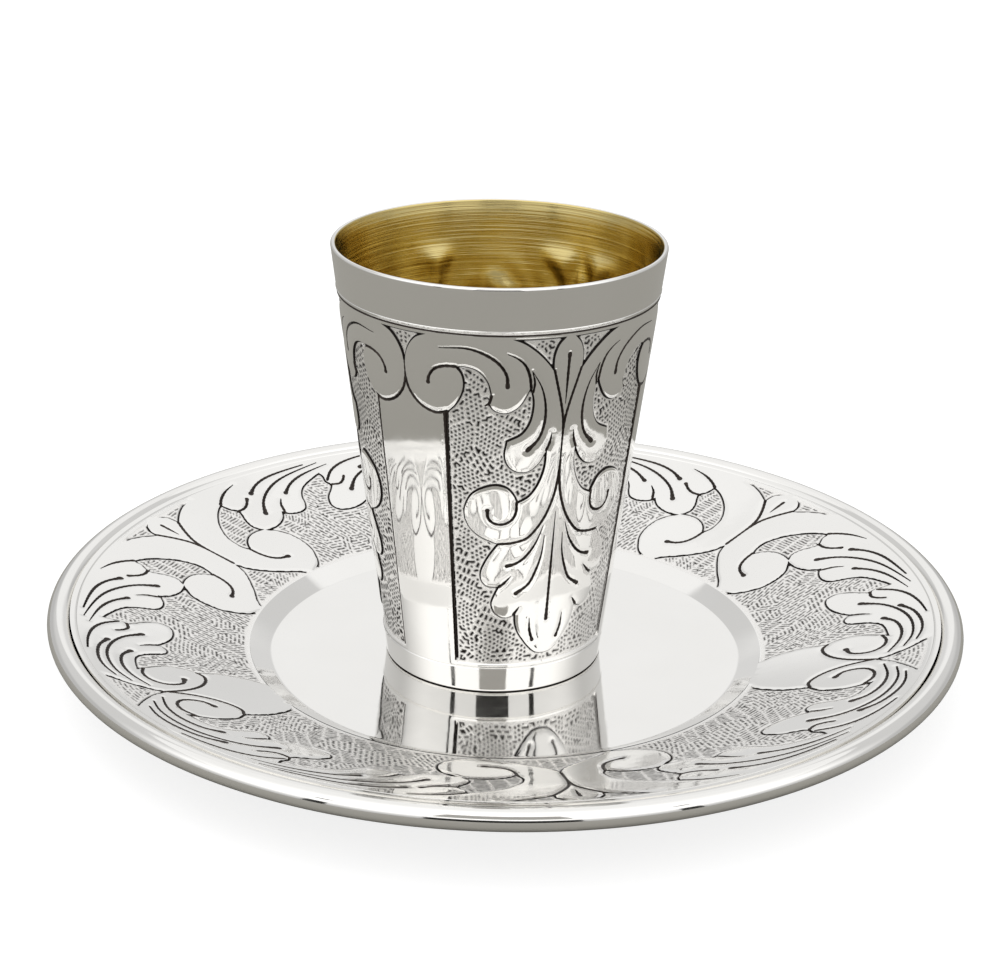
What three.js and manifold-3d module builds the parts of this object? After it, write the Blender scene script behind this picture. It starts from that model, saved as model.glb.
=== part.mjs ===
// Kiddush cup: a chased silver tumbler standing on its matching chased saucer.
// Millimetres, +Z up. The saucer is centred on the origin and its underside lies at z = 0.
import * as THREE from 'three';
import Module from 'manifold-3d';

// Cup
const CUP_HEIGHT = 80.0;
const CUP_RIM_RADIUS = 30.29;
const CUP_BASE_RADIUS = 20.33;
const CUP_CENTRE = [-2.29, 0.80];
const CUP_WALL = 1.1;
const CUP_RIM_WALL = 0.9;
const CUP_FLOOR = 1.3;
const CUP_FOOT_EDGE = 0.45;
const CUP_BAND_LOW = 5.4;
const CUP_BAND_HIGH = 71.1;
const CUP_LEAF_AXIS = 25.5;

// Saucer
const SHEET = 1.1;
const WELL_RADIUS = 44.2;
const COVE_RADIUS = 48.0;
const COVE_RISE = 2.0;
const RIM_SLOPE = 0.30;
const RIM_EDGE_RADIUS = 80.9;
const RIM_GROOVE = [81.2, 11.6];
const BEAD_CENTRE = [83.6, 10.5];
const BEAD_RADII = [2.2, 2.0];
const BEAD_OPEN_DEG = 140;
const BEAD_STEPS = 7;
const SAUCER_BAND_LOW = 49.0;
const SAUCER_BAND_HIGH = 79.9;
const SAUCER_DRAWING_RADIUS = 66;

// Chasing
const CUP_SINK = 0.35;
const SAUCER_SINK = 0.32;
const LINE_DEPTH = 0.3;
const HALF_MOTIF_DEG = 60;
const DIVISIONS = 48;
const DIVISION_DEG = 360 / DIVISIONS;
const LONGEST_SPAN_DEG = 1.3 * DIVISION_DEG;
const OUTLINE_TOLERANCE = 0.33;
const LINE_TOLERANCE = 0.42;
const SHORTEST_EDGE = 0.2;
const FULL_DEPTH_WIDTH = 0.5;
const CUTTER_OVERLAP = 0.15;
const SLAB_DEPTH = 2;

// The saucer was laid out by eye, so its six axes are not evenly spaced: each entry is how
// far, in degrees, an axis stands from its even 60 degree place, starting at the back left.
const SAUCER_AXIS_DRIFT = [8.0, 5.5, 2.9, 9.0, 13.0, 10.5];
const SAUCER_FIRST_AXIS = -180;

const DEG = Math.PI / 180;

// Cup half motif. Degrees round from the leaf axis (0) to the panel axis (60), height in mm.
// Each ground field is a ring of smooth edges that meet at corners.
const CUP_FIELDS = [
  [ // main field between the scrolls, the leaf and the panel
    [[40.5, 65.3], [36.5, 65.5], [32, 64.8], [28.5, 62.7], [27.2, 60.3]],
    [[27.9, 58.6], [26, 57.4], [22, 57], [18, 58], [15, 60.2], [13.5, 62]],
    [[12, 59.5], [12, 57], [13.2, 54.6], [16, 52.7], [21.3, 51.4]],
    [[22, 48.6], [20.5, 46.7], [17, 45.6], [13, 45.6], [9.5, 46.8], [5.8, 49.8]],
    [[6.2, 45.8], [8.5, 42.6], [12, 40.4], [16.7, 39.2]],
    [[18.3, 40.8], [21, 42.2], [25, 42.8], [30, 42.3], [35, 40.8], [37.8, 38], [37.6, 36]],
    [[37.6, 36], [35.5, 34.2], [31.5, 32.7], [26, 31.6], [23.5, 31.2]],
    [[26.5, 29.4], [29.5, 27.2], [31.2, 25.2], [30.8, 23.6], [28.5, 22.6], [23, 22.4]],
    [[25, 20.6], [26.3, 18.8], [25, 17.1], [21, 16], [17.5, 16.3], [15.3, 16.8]],
    [[15, 14.8], [13.6, 12.9], [11, 11.2], [8, 9.6], [4, 8.2], [-2, 7.8]],
    [[-2, 5.8]],
    [[43.7, 5.8]],
    [[43.9, 30], [44, 56.6]],
    [[41, 58], [38.6, 60], [37.6, 62], [38.3, 64], [40.5, 65.3]],
  ],
  [ // corner field between the bud and the scroll
    [[1.6, 70.7], [4, 69.3], [5.3, 67.3], [5.4, 65.6], [5.1, 64.2]],
    [[8.5, 66.4], [12.5, 68.4], [17, 70], [20.5, 70.7]],
  ],
  [ // corner field between two scrolls, over the panel
    [[62, 63.5], [60, 64.4], [59.2, 66.2], [57.4, 68.2], [54.5, 69.8], [50.5, 70.7]],
    [[62, 70.7]],
  ],
];
// Chased lines: the two widths are at the first and the last knot.
const CUP_LINES = [
  { width: [0.6, 0.6], knots: [[5.4, 65.1], [3.9, 62.2], [2, 58.8], [0.5, 55.5], [0, 53], [0, 46],
    [0.8, 42], [4.5, 36.5], [8, 34], [12, 32.2], [18, 31.4], [25, 31]] },
  { width: [0.6, 0.6], knots: [[60.5, 65.4], [60, 62], [58.3, 59.4], [54, 57.2], [48, 56.2],
    [43.2, 57]] },
  { width: [0.6, 0.8], knots: [[39.8, 65.1], [44, 65.2], [48, 64.4], [50.3, 62.8], [50.6, 61.8]] },
  { width: [0.7, 0.8], knots: [[16.5, 40.2], [17, 37.6], [18.5, 36.1], [22, 35.2], [26, 35.4],
    [28.6, 37.9]] },
  { width: [0.8, 0.2], knots: [[21.8, 61.9], [22.2, 64], [25, 66.2], [30, 67.9], [46, 68.5]] },
  { width: [0.2, 0.9], knots: [[13, 64.6], [7.7, 58], [7.7, 54.8], [13.6, 49.7]] },
  { width: [0.2, 0.8], knots: [[5, 34.5], [12, 28.5], [20, 26.7]] },
  { width: [0.2, 0.8], knots: [[4.2, 32.5], [7, 25.5], [15.5, 21]] },
  { width: [0.8, 0.2], knots: [[0, 67.4], [0, 58]] },
  { width: [0.2, 0.8], knots: [[0, 37], [0, 15]] },
];

// Saucer half motif. Degrees round from the leaf axis (0) to the panel axis (60), radius in mm.
const SAUCER_FIELDS = [
  [ // main field between the leaf, the panel scroll and the well
    [[13, 50], [16.2, 50.8], [18, 52.8], [18.8, 55], [18.6, 58], [17.4, 61], [14.6, 63.7]],
    [[17, 63.6], [19.2, 64.3], [20.6, 65.4], [21.6, 67]],
    [[22.6, 66], [24.5, 65.4], [26.4, 65.9], [27.3, 67.4], [28, 69.7], [29.6, 72.2], [34.6, 75.6]],
    [[34.9, 73.8], [34.7, 72.4], [35.3, 71], [34.6, 69.6], [33, 67.4], [32.3, 65], [33, 63.4],
      [35, 62.8], [38, 63.4], [40.4, 65.2], [41.5, 66.6]],
    [[41.9, 65.3], [42.9, 64.6], [44.2, 65], [45, 66.6], [45.8, 69], [47.4, 71], [52.2, 72.2]],
    [[51.2, 70], [50.2, 67.4], [49.9, 65], [50.2, 63], [51.4, 60.8]],
    [[51.1, 58.5], [50.9, 56.5], [51.3, 54], [52.3, 51.6], [53.8, 49.9]],
  ],
  [ // field under the leaf, between the two great scrolls
    [[-2, 60.5], [0, 59.6], [0.8, 57.6], [1.9, 56], [3.9, 54.1], [6.5, 52.2], [9.4, 50.6],
      [11.6, 49.9]],
    [[-2, 49.9]],
  ],
  [ // field inside the great scroll
    [[13, 74.8], [13.4, 72.8], [14.5, 71.1], [14.2, 69.6], [13.5, 67.6], [13.4, 65.6], [14.5, 63.9]],
    [[12.4, 64.1], [10, 63.6], [8.2, 62.3], [6.9, 60.3]],
    [[6, 62.4], [5.9, 64.8], [6.5, 67], [7.6, 69.2], [9.1, 71.3], [11, 73.3], [13, 74.8]],
  ],
  [ // corner field beside the bud
    [[0.8, 79.3], [2, 78.3], [2.7, 77], [2.8, 75]],
    [[4.4, 76.4], [6.5, 77.9], [9.6, 79.3]],
  ],
  [ // corner field over the panel
    [[62, 69.5], [60, 70.2], [59.2, 72.8], [58, 75.8], [56.8, 78], [55.8, 79.3]],
    [[62, 79.3]],
  ],
];
const SAUCER_LINES = [
  { width: [0.6, 0.7], knots: [[3.1, 75.9], [1.3, 72], [0.4, 69.5], [0, 66.5], [0, 59]] },
  { width: [0.7, 0.9], knots: [[6.6, 61.2], [7.2, 58.6], [8.2, 56.6], [12, 54.9]] },
  { width: [0.9, 0.3], knots: [[18.3, 67.8], [23, 73.8], [35.5, 78.8]] },
  { width: [0.9, 0.4], knots: [[38.2, 68.4], [43.9, 74.7], [53, 76.4], [58.4, 74.6]] },
  { width: [0.9, 0.4], knots: [[45.4, 71.4], [50.6, 74.3], [58.4, 72.2]] },
  { width: [0.6, 0.5], knots: [[60.4, 71.2], [59.6, 68], [58.7, 65], [57, 62.2], [54.8, 60.5],
    [52.8, 60.1], [50.6, 61.4]] },
  { width: [0.6, 0.9], knots: [[51.2, 70.6], [53.5, 71.6], [55.4, 71.2], [56.8, 69.6],
    [57.1, 67.6], [54.6, 64.4]] },
];

// Plane drawing

// A smooth curve through the knots, thinned to the points that its bends need.
function smooth(knots, tolerance) {
  if (knots.length < 3) return knots;
  const curve = new THREE.CatmullRomCurve3(
    knots.map(([x, y]) => new THREE.Vector3(x, y, 0)), false, 'centripetal');
  const dense = curve.getPoints(12 * (knots.length - 1)).map((p) => [p.x, p.y]);
  const keep = new Array(dense.length).fill(false);
  keep[0] = keep[dense.length - 1] = true;
  const stack = [[0, dense.length - 1]];
  while (stack.length) {
    const [a, b] = stack.pop();
    const [ax, ay] = dense[a];
    const dx = dense[b][0] - ax;
    const dy = dense[b][1] - ay;
    const length = Math.hypot(dx, dy) || 1;
    let worst = tolerance;
    let at = -1;
    for (let i = a + 1; i < b; i++) {
      const off = Math.abs((dense[i][0] - ax) * dy - (dense[i][1] - ay) * dx) / length;
      if (off > worst) [worst, at] = [off, i];
    }
    if (at > 0) {
      keep[at] = true;
      stack.push([a, at], [at, b]);
    }
  }
  return dense.filter((_, i) => keep[i]);
}

// A field outline: each edge starts where the edge before it ended.
function outline(edges, scale, tolerance) {
  const ring = [];
  let last = null;
  for (const edge of edges) {
    const knots = (last ? [last, ...edge] : edge).map(([x, y]) => [x, y]);
    last = edge[edge.length - 1];
    const scaled = knots.map(([x, y]) => [x * scale, y]);
    for (const point of smooth(scaled, tolerance)) {
      const previous = ring[ring.length - 1];
      if (!previous || Math.hypot(point[0] - previous[0], point[1] - previous[1]) > 0.05) {
        ring.push(point);
      }
    }
  }
  const [first, end] = [ring[0], ring[ring.length - 1]];
  if (Math.hypot(first[0] - end[0], first[1] - end[1]) < 0.05) ring.pop();
  return ring;
}

// A closed block with the given outline between two levels.
function block(wasm, ring, low, high) {
  let points = ring.map(([x, y]) => new THREE.Vector2(x, y));
  if (THREE.ShapeUtils.area(points) < 0) points = points.reverse();
  const n = points.length;
  const positions = [];
  for (const level of [low, high]) for (const p of points) positions.push(p.x, p.y, level);
  const faces = [];
  for (const [a, b, c] of THREE.ShapeUtils.triangulateShape(points, [])) {
    faces.push(n + a, n + b, n + c, a, c, b);
  }
  for (let i = 0; i < n; i++) {
    const j = (i + 1) % n;
    faces.push(i, j, n + j, i, n + j, n + i);
  }
  return solid(wasm, positions, faces);
}

// A closed wedge that follows the knots: a V groove when it is cut away.
function wedge(wasm, knots, width, scale, depth, tolerance) {
  const path = smooth(knots.map(([x, y]) => [x * scale, y]), tolerance);
  const lengths = [0];
  for (let i = 1; i < path.length; i++) {
    lengths.push(lengths[i - 1] + Math.hypot(path[i][0] - path[i - 1][0], path[i][1] - path[i - 1][1]));
  }
  const total = lengths[lengths.length - 1];
  const positions = [];
  path.forEach(([x, y], i) => {
    const before = path[Math.max(0, i - 1)];
    const after = path[Math.min(path.length - 1, i + 1)];
    const length = Math.hypot(after[0] - before[0], after[1] - before[1]);
    const [tx, ty] = [(after[0] - before[0]) / length, (after[1] - before[1]) / length];
    const share = lengths[i] / total;
    const here = width[0] + (width[1] - width[0]) * share;
    const sink = depth * Math.min(1, here / FULL_DEPTH_WIDTH);
    const half = (here / 2) * (1 + CUTTER_OVERLAP / sink);
    positions.push(x - ty * half, y + tx * half, CUTTER_OVERLAP);
    positions.push(x + ty * half, y - tx * half, CUTTER_OVERLAP);
    positions.push(x, y, -sink);
  });
  const faces = [0, 2, 1];
  const last = path.length - 1;
  for (let i = 0; i < last; i++) {
    const [a, b] = [3 * i, 3 * i + 3];
    for (const [p, q] of [[0, 1], [1, 2], [2, 0]]) {
      faces.push(a + p, a + q, b + q, a + p, b + q, b + p);
    }
  }
  faces.push(3 * last, 3 * last + 1, 3 * last + 2);
  return solid(wasm, positions, faces);
}

function solid(wasm, positions, faces) {
  return new wasm.Manifold(new wasm.Mesh({
    numProp: 3, vertProperties: Float32Array.from(positions), triVerts: Uint32Array.from(faces),
  }));
}

// One half motif cut into a flat slab. Only the worked face of the slab is kept.
function workedFace(wasm, fields, lines, low, high, scale, sink) {
  const width = HALF_MOTIF_DEG * scale;
  const floor = -SLAB_DEPTH;
  let slab = block(wasm, [[0, low], [width, low], [width, high], [0, high]], floor, 0);
  for (const field of fields) {
    slab = slab.subtract(block(wasm, outline(field, scale, OUTLINE_TOLERANCE), -sink, CUTTER_OVERLAP));
  }
  for (const line of lines) {
    slab = slab.subtract(wedge(wasm, line.knots, line.width, scale, LINE_DEPTH, LINE_TOLERANCE));
  }
  const mesh = slab.getMesh();
  const points = [];
  for (let i = 0; i < mesh.vertProperties.length; i += mesh.numProp) {
    points.push([...mesh.vertProperties.slice(i, i + 3)]);
  }
  const near = (a, b) => Math.abs(a - b) < 1e-3;
  const sides = [([x]) => near(x, 0), ([x]) => near(x, width), ([, y]) => near(y, low),
    ([, y]) => near(y, high), ([, , h]) => near(h, floor)];
  const all = [];
  for (let t = 0; t < mesh.triVerts.length; t += 3) all.push([...mesh.triVerts.slice(t, t + 3)]);
  const triangles = settle(points, all, sides).filter(
    (corners) => !sides.some((side) => corners.every((i) => side(points[i]))));
  for (const point of points) point[0] /= scale;
  return refine(points, triangles);
}

// Draws very short edges together, wherever the surface stays whole, and keeps the sides flat.
function settle(points, triangles, sides) {
  const held = points.map((point) => sides.map((side) => side(point)));
  let list = triangles.map((corners) => [...corners]);
  for (let changed = true; changed;) {
    changed = false;
    const around = new Map();
    list.forEach((corners, t) => corners.forEach((i) => {
      if (!around.has(i)) around.set(i, new Set());
      around.get(i).add(t);
    }));
    const ring = (i) => new Set([...around.get(i)].flatMap((t) => list[t]));
    const touched = new Set();
    for (const corners of [...list]) {
      for (let k = 0; k < 3; k++) {
        let [keep, drop] = [corners[k], corners[(k + 1) % 3]];
        if (held[drop].filter(Boolean).length > held[keep].filter(Boolean).length) {
          [keep, drop] = [drop, keep];
        }
        if (held[drop].some((on, side) => on && !held[keep][side])) continue;
        const [p, q] = [points[keep], points[drop]];
        if (Math.hypot(p[0] - q[0], p[1] - q[1], p[2] - q[2]) > SHORTEST_EDGE) continue;
        const [first, second] = [ring(keep), ring(drop)];
        const shared = [...first].filter((i) => second.has(i) && i !== keep && i !== drop);
        if (shared.length !== 2) continue;
        if ([...first, ...second].some((i) => touched.has(i))) continue;
        for (const t of around.get(drop)) list[t] = list[t].map((i) => (i === drop ? keep : i));
        for (const i of [...first, ...second]) touched.add(i);
        changed = true;
        break;
      }
    }
    list = list.filter(([a, b, c]) => a !== b && b !== c && c !== a);
  }
  return list;
}

// Edges that span too much of the turn are cut at the even division nearest to their middle.
function refine(points, triangles) {
  for (let round = 0; round < 12; round++) {
    const cuts = new Map();
    const cut = (a, b) => {
      const key = a < b ? a * 1e6 + b : b * 1e6 + a;
      if (cuts.has(key)) return cuts.get(key);
      const [p, q] = a < b ? [points[a], points[b]] : [points[b], points[a]];
      let made = -1;
      if (Math.abs(p[0] - q[0]) > LONGEST_SPAN_DEG) {
        const middle = (p[0] + q[0]) / 2;
        const line = Math.round(middle / DIVISION_DEG) * DIVISION_DEG;
        const share = (line - p[0]) / (q[0] - p[0]);
        made = points.length;
        points.push([line, p[1] + (q[1] - p[1]) * share, p[2] + (q[2] - p[2]) * share]);
      }
      cuts.set(key, made);
      return made;
    };
    const next = [];
    let changed = false;
    for (const [a, b, c] of triangles) {
      const ring = [];
      let start = -1;
      for (const [p, q] of [[a, b], [b, c], [c, a]]) {
        ring.push(p);
        const m = cut(p, q);
        if (m >= 0) {
          start = ring.length;
          ring.push(m);
        }
      }
      if (ring.length === 3) {
        next.push([a, b, c]);
        continue;
      }
      changed = true;
      for (let i = 1; i < ring.length - 1; i++) {
        next.push([ring[start], ring[(start + i) % ring.length], ring[(start + i + 1) % ring.length]]);
      }
    }
    triangles = next;
    if (!changed) break;
  }
  return { points, triangles };
}

// Closed bodies

// Collects triangles on shared points, so that neighbouring surfaces close on each other.
class Shell {
  constructor() {
    this.positions = [];
    this.faces = [];
    this.names = new Map();
  }

  point(p) {
    const key = p.map((v) => Math.round(v * 500)).join(' ');
    if (!this.names.has(key)) {
      this.names.set(key, this.positions.length / 3);
      this.positions.push(...p);
    }
    return this.names.get(key);
  }

  triangle(p, q, r) {
    const [a, b, c] = [p, q, r].map((v) => this.point(v));
    if (a !== b && b !== c && c !== a) this.faces.push(a, b, c);
  }

  // Turns a profile of [radius, height] points; the angles are the division lines.
  lathe(profile, angles, place) {
    for (let i = 0; i < profile.length - 1; i++) {
      for (let k = 0; k < angles.length; k++) {
        const [f, g] = [angles[k], angles[(k + 1) % angles.length]];
        const [p, q] = [place(profile[i], f), place(profile[i], g)];
        const [r, s] = [place(profile[i + 1], g), place(profile[i + 1], f)];
        this.triangle(p, q, r);
        this.triangle(p, r, s);
      }
    }
  }

  // Lays the half motif round the turn, every second one turned over.
  motif(face, wrap) {
    for (let half = 0; half < 6; half++) {
      const over = half % 2 === 1;
      const place = (i) => {
        const [x, y, h] = face.points[i];
        return wrap(HALF_MOTIF_DEG * (over ? half + 1 : half) + (over ? -x : x), y, h);
      };
      for (const [a, b, c] of face.triangles) {
        if (over) this.triangle(place(a), place(c), place(b));
        else this.triangle(place(a), place(b), place(c));
      }
    }
  }

  mesh(name, material) {
    const geometry = new THREE.BufferGeometry();
    geometry.setAttribute('position', new THREE.Float32BufferAttribute(this.positions, 3));
    geometry.setIndex(this.faces);
    geometry.computeVertexNormals();
    const mesh = new THREE.Mesh(geometry, material);
    mesh.name = name;
    return mesh;
  }
}

function turned(radius, angle, height, [cx, cy]) {
  return [cx + radius * Math.sin(angle * DEG), cy - radius * Math.cos(angle * DEG), height];
}

// Cup

const CUP_LEAN = (CUP_RIM_RADIUS - CUP_BASE_RADIUS) / CUP_HEIGHT;

function cupRadius(height) {
  return CUP_BASE_RADIUS + CUP_LEAN * height;
}

function makeCup(wasm, material) {
  const scale = cupRadius(40) * DEG;
  const face = workedFace(wasm, CUP_FIELDS, CUP_LINES, CUP_BAND_LOW, CUP_BAND_HIGH, scale, CUP_SINK);
  const shell = new Shell();
  const flare = Math.atan(CUP_LEAN);
  const place = ([radius, height], angle) => turned(radius, angle, height + SHEET, CUP_CENTRE);
  const angles = [];
  for (let k = 0; k < DIVISIONS; k++) angles.push(CUP_LEAF_AXIS + k * DIVISION_DEG);
  shell.motif(face, (x, y, h) => place(
    [cupRadius(y) + h * Math.cos(flare), y - h * Math.sin(flare)], CUP_LEAF_AXIS + x));

  const lip = CUP_RIM_WALL / 2;
  const rise = CUP_HEIGHT - lip;
  const inner = (height) => cupRadius(height) - CUP_WALL;
  const below = [
    [0, 0], [CUP_BASE_RADIUS - CUP_FOOT_EDGE, 0], [cupRadius(CUP_FOOT_EDGE), CUP_FOOT_EDGE],
    [cupRadius(CUP_BAND_LOW), CUP_BAND_LOW],
  ];
  const above = [
    [cupRadius(CUP_BAND_HIGH), CUP_BAND_HIGH], [cupRadius(rise), rise],
    [CUP_RIM_RADIUS - 0.14, CUP_HEIGHT - 0.12], [CUP_RIM_RADIUS - lip, CUP_HEIGHT],
    [CUP_RIM_RADIUS - CUP_RIM_WALL + 0.12, CUP_HEIGHT - 0.12],
    [CUP_RIM_RADIUS - CUP_RIM_WALL - 0.06, rise],
    [inner(CUP_BAND_HIGH), CUP_BAND_HIGH], [inner(CUP_FLOOR + 2.2), CUP_FLOOR + 2.2],
    [inner(CUP_FLOOR) - 0.7, CUP_FLOOR + 0.7], [inner(CUP_FLOOR) - 2.4, CUP_FLOOR], [0, CUP_FLOOR],
  ];
  shell.lathe(below, angles, place);
  shell.lathe(above, angles, place);
  return shell.mesh('cup', material);
}

// Saucer

function rimHeight(radius) {
  return COVE_RISE + (radius - COVE_RADIUS) * RIM_SLOPE;
}

// The place of an even axis angle as the hand work has it.
function saucerAngle(even) {
  const turn = (((even - SAUCER_FIRST_AXIS) / HALF_MOTIF_DEG) % 6 + 6) % 6;
  const from = Math.floor(turn);
  const share = turn - from;
  const ease = share * share * (3 - 2 * share);
  const drift = SAUCER_AXIS_DRIFT;
  return even + drift[from] + (drift[(from + 1) % 6] - drift[from]) * ease;
}

function makeSaucer(wasm, material) {
  const scale = SAUCER_DRAWING_RADIUS * DEG;
  const face = workedFace(wasm, SAUCER_FIELDS, SAUCER_LINES, SAUCER_BAND_LOW, SAUCER_BAND_HIGH,
    scale, SAUCER_SINK);
  const shell = new Shell();
  const pitch = Math.atan(RIM_SLOPE);
  const place = ([radius, height], angle) => turned(radius, angle, height + SHEET, [0, 0]);
  const angles = [];
  for (let k = 0; k < DIVISIONS; k++) angles.push(saucerAngle(k * DIVISION_DEG));
  shell.motif({ points: face.points, triangles: face.triangles.map(([a, b, c]) => [a, c, b]) },
    (x, y, h) => place([y - h * Math.sin(pitch), rimHeight(y) + h * Math.cos(pitch)],
      saucerAngle(x)));

  const under = (radius) => rimHeight(radius) - SHEET;
  const bead = [];
  for (let i = 0; i <= BEAD_STEPS; i++) {
    const turn = BEAD_OPEN_DEG * (2 * i / BEAD_STEPS - 1) * DEG;
    bead.push([BEAD_CENTRE[0] + BEAD_RADII[0] * Math.cos(turn),
      BEAD_CENTRE[1] + BEAD_RADII[1] * Math.sin(turn)]);
  }
  const inside = [
    [SAUCER_BAND_LOW, rimHeight(SAUCER_BAND_LOW)], [COVE_RADIUS, COVE_RISE],
    [46.6, 0.95], [45.2, 0.28], [WELL_RADIUS, 0], [0, 0],
  ];
  const outside = [
    [0, -SHEET], [WELL_RADIUS, -SHEET], [COVE_RADIUS + 0.6, under(COVE_RADIUS + 0.6)],
    [RIM_EDGE_RADIUS, under(RIM_EDGE_RADIUS)], ...bead,
    RIM_GROOVE, [RIM_EDGE_RADIUS, rimHeight(RIM_EDGE_RADIUS)],
    [SAUCER_BAND_HIGH, rimHeight(SAUCER_BAND_HIGH)],
  ];
  shell.lathe(outside, angles, place);
  shell.lathe(inside, angles, place);
  return shell.mesh('saucer', material);
}

const wasm = await Module();
wasm.setup();

const silver = new THREE.MeshStandardMaterial({ color: 0xc9c6bf, metalness: 1, roughness: 0.25 });
silver.name = 'silver';
const group = new THREE.Group();
group.name = 'kiddush_cup';
group.add(makeCup(wasm, silver));
group.add(makeSaucer(wasm, silver.clone()));

export default group;
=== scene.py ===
"""Kiddush cup on its chased saucer: the fine silver surfaces, the gilding, the floor, lights and camera."""

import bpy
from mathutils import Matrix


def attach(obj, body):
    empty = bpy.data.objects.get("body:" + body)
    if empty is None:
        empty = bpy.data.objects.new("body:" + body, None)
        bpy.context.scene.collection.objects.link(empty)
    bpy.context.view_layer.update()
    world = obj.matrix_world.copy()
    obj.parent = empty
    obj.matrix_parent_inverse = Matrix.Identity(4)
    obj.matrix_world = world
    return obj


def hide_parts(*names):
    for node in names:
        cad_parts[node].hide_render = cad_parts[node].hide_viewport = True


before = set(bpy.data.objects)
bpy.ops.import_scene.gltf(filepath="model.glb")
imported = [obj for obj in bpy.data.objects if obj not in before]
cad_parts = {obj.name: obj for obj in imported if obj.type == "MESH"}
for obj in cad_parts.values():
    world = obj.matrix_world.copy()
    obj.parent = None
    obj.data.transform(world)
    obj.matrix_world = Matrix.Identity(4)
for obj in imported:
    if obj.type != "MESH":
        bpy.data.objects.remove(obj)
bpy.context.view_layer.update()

import math
from types import SimpleNamespace

import bpy
import numpy as np
from bpy.props import FloatProperty, FloatVectorProperty, IntProperty, PointerProperty
from mathutils import Matrix, Vector
from mathutils.geometry import delaunay_2d_cdt

bl_info = {
    "name": "Chased Kiddush Cup",
    "version": (1, 0, 0),
    "blender": (4, 5, 0),
    "location": "3D View > Sidebar > Silver",
    "description": "Models a chased silver beaker and its saucer, with gilding and a studio stage",
    "category": "Object",
}

MM = 0.001
DEG = math.pi / 180

# The saucer's sheet, in millimetres: the cup stands on it
SHEET = 1.1

# Cup, in millimetres, as the solids have it
CUP_HEIGHT = 80.0
CUP_RIM_RADIUS = 30.29
CUP_BASE_RADIUS = 20.33
CUP_CENTRE = (-2.29, 0.80)
CUP_WALL = 1.1
CUP_RIM_WALL = 0.9
CUP_FLOOR = 1.3
CUP_BAND = (5.4, 71.1)
CUP_LEAF_AXIS = 25.5  # degrees round from the front
CUP_LEAN = (CUP_RIM_RADIUS - CUP_BASE_RADIUS) / CUP_HEIGHT
CUP_DRAWING_RADIUS = CUP_BASE_RADIUS + CUP_LEAN * CUP_HEIGHT / 2

# Turned lines, in millimetres: the width and depth of a fine one, and the plain edge by any
FINE_LINE = (0.34, 0.13)
LINE_MARGIN = 0.12

# Cup's chased band: the heights in millimetres between which a field's edge has an outline
CUP_OUTLINED = (6.6, 71)
CUP_DIVISIONS = 240

# Cup's inner wall, in millimetres: the chasing shows through it, and fades towards its ends
CUP_INNER_WALL = (8.0, 75.0)
CUP_INNER_ROWS = 68
INSIDE_STRENGTH = 2.2
INSIDE_FADE = 3

# Cup's lip, floor and foot: heights in millimetres over the foot, unless the line says otherwise
LIP_GROOVE = (71.48, 0.46, 0.15)  # height, width and depth
LIP_GROOVE_BLACK = (71.25, 71.48)
LIP_FILLET = (71.88, 72.02, 72.1, 72.22)
LIP_FILLET_RISE = 0.09  # out from the side
LIP_ROWS = (72.4, 73.5, 76, 78, 79.1)
LIP_INNER_ROWS = (78.6, 77.4, CUP_INNER_WALL[1])
LIP_BRIGHT_EDGE = 0.08  # how far the gilding stops short of the lip's inner side
LIP_ARC = (-5, 180, 12)  # degrees up from the outward side, and the number of points
FLOOR_ROWS = (CUP_INNER_WALL[0], 4.5)
FLOOR_CORNER = ((2.6, 0.6, 2.4), (2, 2.0, CUP_FLOOR))  # height of the wall, inward, level
FLOOR_RADII = (10, 0)  # rings of the flat floor
FOOT_GROOVE = 5.05
FOOT_ROWS = (4, 2, 0.7, 0.4)
FOOT_EDGE = ((0.2, 0.08), (0.06, 0.25), (0, 0.5))  # height and how far it is drawn in
FOOT_RADII = (14, 0)  # rings of the flat underside
# Painted contact shadow: the foot's lowest edge and underside, between these heights, are blackened where
# the cup stands on the saucer
FOOT_PAINTED_SHADOW = (-1, 0.22)

# Saucer, in millimetres, as the solids have it
COVE_RADIUS = 48.0
COVE_RISE = 2.0
COVE_FOOT = (43.95, 1.6)
RIM_SLOPE = 0.30
BEAD_CENTRE = (83.45, 10.5)
BEAD_RADII = (2.1, 2.0)
SAUCER_BAND = (48.5, 79.9)
SAUCER_FIRST_AXIS = -180  # degrees round from the front
SAUCER_AXIS_DRIFT = (8.0, 5.5, 2.9, 9.0, 13.0, 10.5)  # degrees that each axis is off

# Saucer's chased band: the radii in millimetres between which a field's edge has an outline
SAUCER_OUTLINED = (49.4, 78.7)
SAUCER_DRAWING_RADIUS = 66.0
SAUCER_DIVISIONS = 360

# Saucer's well, border and underside: radii in millimetres, unless the line says otherwise
COVE_SHARES = (0, 0.06, 0.12, 0.35, 0.65, 0.9, 0.96)  # rings down the cove, as shares of its run
COVE_ARC = (-62, -90, 7)  # degrees and number of points, as at the lip
WELL_RADII = (43.6, 36, 24, 12, 0)
BORDER_LINE = 80.25
BORDER_EDGE = 80.9
BEAD_SEAM = (81.35, 81.0, 0.05)  # radius, the rim's radius at its height, and its rise
BEAD_ARC = (170, -62, 22)
UNDER_RIM = ((80.5, 0), (76, 0.1), (64, 0.1), (52, 0.1))  # radius and drop under the rim
UNDER_WELL = ((48.2, 1.0), (46.4, 0.15), (45.2, 0), (44, 0), (30, 0), (15, 0), (0, 0))  # and level

# Chasing: half a motif is drawn, and repeated round the turn with every second one turned over
HALF_MOTIF_DEG = 60
HALF_MOTIFS = 360 // HALF_MOTIF_DEG
SILVER, MATTED, LINE, GILT = range(4)
CREASE_DEG = 38

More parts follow.
